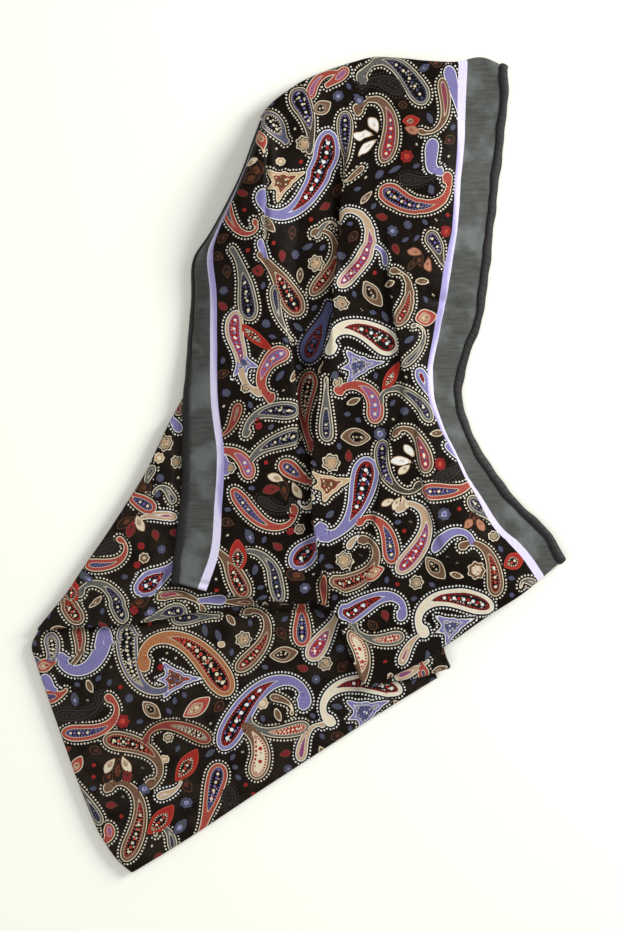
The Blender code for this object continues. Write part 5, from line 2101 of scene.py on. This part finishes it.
def make_camera(scene, sizes):
    """A camera straight above, which takes in the photograph's frame."""
    camera = bpy.data.cameras.new("camera")
    camera.sensor_width = SENSOR
    span = FRAME_HEIGHT * PIXEL * MM
    camera.lens = SENSOR * (sizes.camera_height - CAMERA_FOCUS) / span
    camera.clip_start = 0.01
    camera.clip_end = 20.0
    item = bpy.data.objects.new("camera", camera)
    scene.collection.objects.link(item)
    middle = to_plan(FRAME_WIDTH / 2, FRAME_HEIGHT / 2)
    x = (middle[0] - CENTRE[0]) * MM
    y = (middle[1] - CENTRE[1]) * MM
    item.location = (x, y, sizes.camera_height)
    scene.camera = item


def deselect():
    """Leaves nothing selected or active."""
    for item in bpy.context.selected_objects:
        item.select_set(False)
    bpy.context.view_layer.objects.active = None


def share_setting(name, description, most):
    """A setting that is a share of what the tables chart."""
    return bpy.props.FloatProperty(
        name=name,
        description=description + ", as a share of what is charted",
        default=1.0,
        min=0.0,
        max=most,
        subtype="FACTOR",
    )


def colour_setting(name, description, default):
    """A setting for a colour as it looks."""
    return bpy.props.FloatVectorProperty(
        name=name,
        description=description,
        default=default,
        size=3,
        min=0.0,
        max=1.0,
        subtype="COLOR_GAMMA",
    )


class CravatSizes(bpy.types.PropertyGroup):
    """Sizes of the cravat's looks"""

    lean: share_setting("Fold lean", "How far the lapped folds lean over", 1.5)
    creases: share_setting("Creases", "Height of the small creases", 2.0)
    camera_height: bpy.props.FloatProperty(
        name="Camera height",
        description="Height of the camera over the table",
        default=1.3,
        min=0.5,
        max=4.0,
        unit="LENGTH",
    )


class CravatColours(bpy.types.PropertyGroup):
    """Colours of the cravat and its table, as they look"""

    ground: colour_setting("Ground", "The print's black ground", GROUND)
    # painted sheen: this colour mottles the ground for its sheen, and gives the hem its slubs
    sheen_and_slub_ground: colour_setting("Thin ground", "Where the ground's dye lies thinner", SHEEN_AND_SLUB)
    # the specks' colour also paints the patches of sheen on the stretches under the front
    speck: colour_setting("Specks", "Small flecks in the ground", SPECK_AND_SHEEN)
    border: colour_setting("Border", "The grey border", BORDER_GREY)
    border_light: colour_setting("Border slubs", "The border's lighter threads", BORDER_SLUB)
    lilac_line: colour_setting("Border line", "The lilac line inside the border", LINE_LILAC)
    lilac_light: colour_setting("Border line, light", "The line's light threads", LINE_LIGHT)
    hem: colour_setting("Hem", "The rolled hem", HEM_BLACK)
    table: colour_setting("Table", "The pale table", TABLE_PALE)


class CRAVAT_OT_hidden(bpy.types.Operator):
    """Stacks the hidden layers under the stretches that show"""

    bl_idname = "cravat.hidden"
    bl_label = "Hidden layers"

    def execute(self, context):
        deselect()
        item = make_hidden(context.scene.cravat_colours)
        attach(item, "root")
        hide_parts("hidden_layers")
        return {"FINISHED"}


class CRAVAT_OT_stretches(bpy.types.Operator):
    """Lays the three stretches that show from under the front"""

    bl_idname = "cravat.stretches"
    bl_label = "Stretches under the front"

    def execute(self, context):
        deselect()
        nodes = {"lower": "lower_stretch", "side": "side_stretch", "corner": "corner_fold"}
        for key, node in nodes.items():
            item = make_stretch(key, context.scene)
            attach(item, "root")
            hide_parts(node)
        return {"FINISHED"}


class CRAVAT_OT_front(bpy.types.Operator):
    """Lays the top stretch of the cravat, with both borders showing"""

    bl_idname = "cravat.front"
    bl_label = "Front stretch"

    def execute(self, context):
        deselect()
        item = make_front(context.scene.cravat_sizes, context.scene.cravat_colours)
        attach(item, "root")
        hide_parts("front_stretch")
        return {"FINISHED"}


class CRAVAT_OT_hems(bpy.types.Operator):
    """Rolls the hems along both long sides of the front"""

    bl_idname = "cravat.hems"
    bl_label = "Rolled hems"

    def execute(self, context):
        deselect()
        colours = context.scene.cravat_colours
        points, _, _ = front_grid(context.scene.cravat_sizes, ())
        left = make_hem("left_hem", points[:, : -FINE_NOSE - 1], -1, colours)
        right = make_hem("right_hem", points, 1, colours)
        for item, node in ((left, "hem_left"), (right, "hem_right")):
            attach(item, "root")
            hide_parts(node)
        return {"FINISHED"}


class CRAVAT_OT_declare(bpy.types.Operator):
    """An empty step that changes nothing"""

    bl_idname = "cravat.declare"
    bl_label = "Flat sizes"

    def execute(self, context):
        return {"FINISHED"}


class CRAVAT_OT_stage(bpy.types.Operator):
    """Sets up the table, the soft lights and the camera"""

    bl_idname = "cravat.stage"
    bl_label = "Table, lights and camera"

    def execute(self, context):
        deselect()
        make_table(context.scene.cravat_colours)
        make_lights(context.scene)
        make_camera(context.scene, context.scene.cravat_sizes)
        return {"FINISHED"}


class CRAVAT_PT_panel(bpy.types.Panel):
    """The cravat's pieces and their settings"""

    bl_idname = "CRAVAT_PT_panel"
    bl_label = "Silk cravat"
    bl_space_type = "VIEW_3D"
    bl_region_type = "UI"
    bl_category = "Cravat"

    def draw(self, context):
        layout = self.layout
        for group in (context.scene.cravat_sizes, context.scene.cravat_colours):
            for name in group.__annotations__:
                layout.prop(group, name)
        for kind in OPERATORS:
            layout.operator(kind.bl_idname)


OPERATORS = (
    CRAVAT_OT_hidden,
    CRAVAT_OT_stretches,
    CRAVAT_OT_front,
    CRAVAT_OT_hems,
    CRAVAT_OT_declare,
    CRAVAT_OT_stage,
)
CLASSES = (CravatSizes, CravatColours, *OPERATORS, CRAVAT_PT_panel)


def register():
    for kind in CLASSES:
        bpy.utils.register_class(kind)
    bpy.types.Scene.cravat_sizes = bpy.props.PointerProperty(type=CravatSizes)
    bpy.types.Scene.cravat_colours = bpy.props.PointerProperty(type=CravatColours)


def unregister():
    del bpy.types.Scene.cravat_colours
    del bpy.types.Scene.cravat_sizes
    for kind in reversed(CLASSES):
        bpy.utils.unregister_class(kind)


def main():
    register()
    bpy.ops.cravat.hidden()
    bpy.ops.cravat.stretches()
    bpy.ops.cravat.front()
    bpy.ops.cravat.hems()
    bpy.ops.cravat.declare()
    bpy.ops.cravat.stage()


if __name__ == "__main__":
    main()
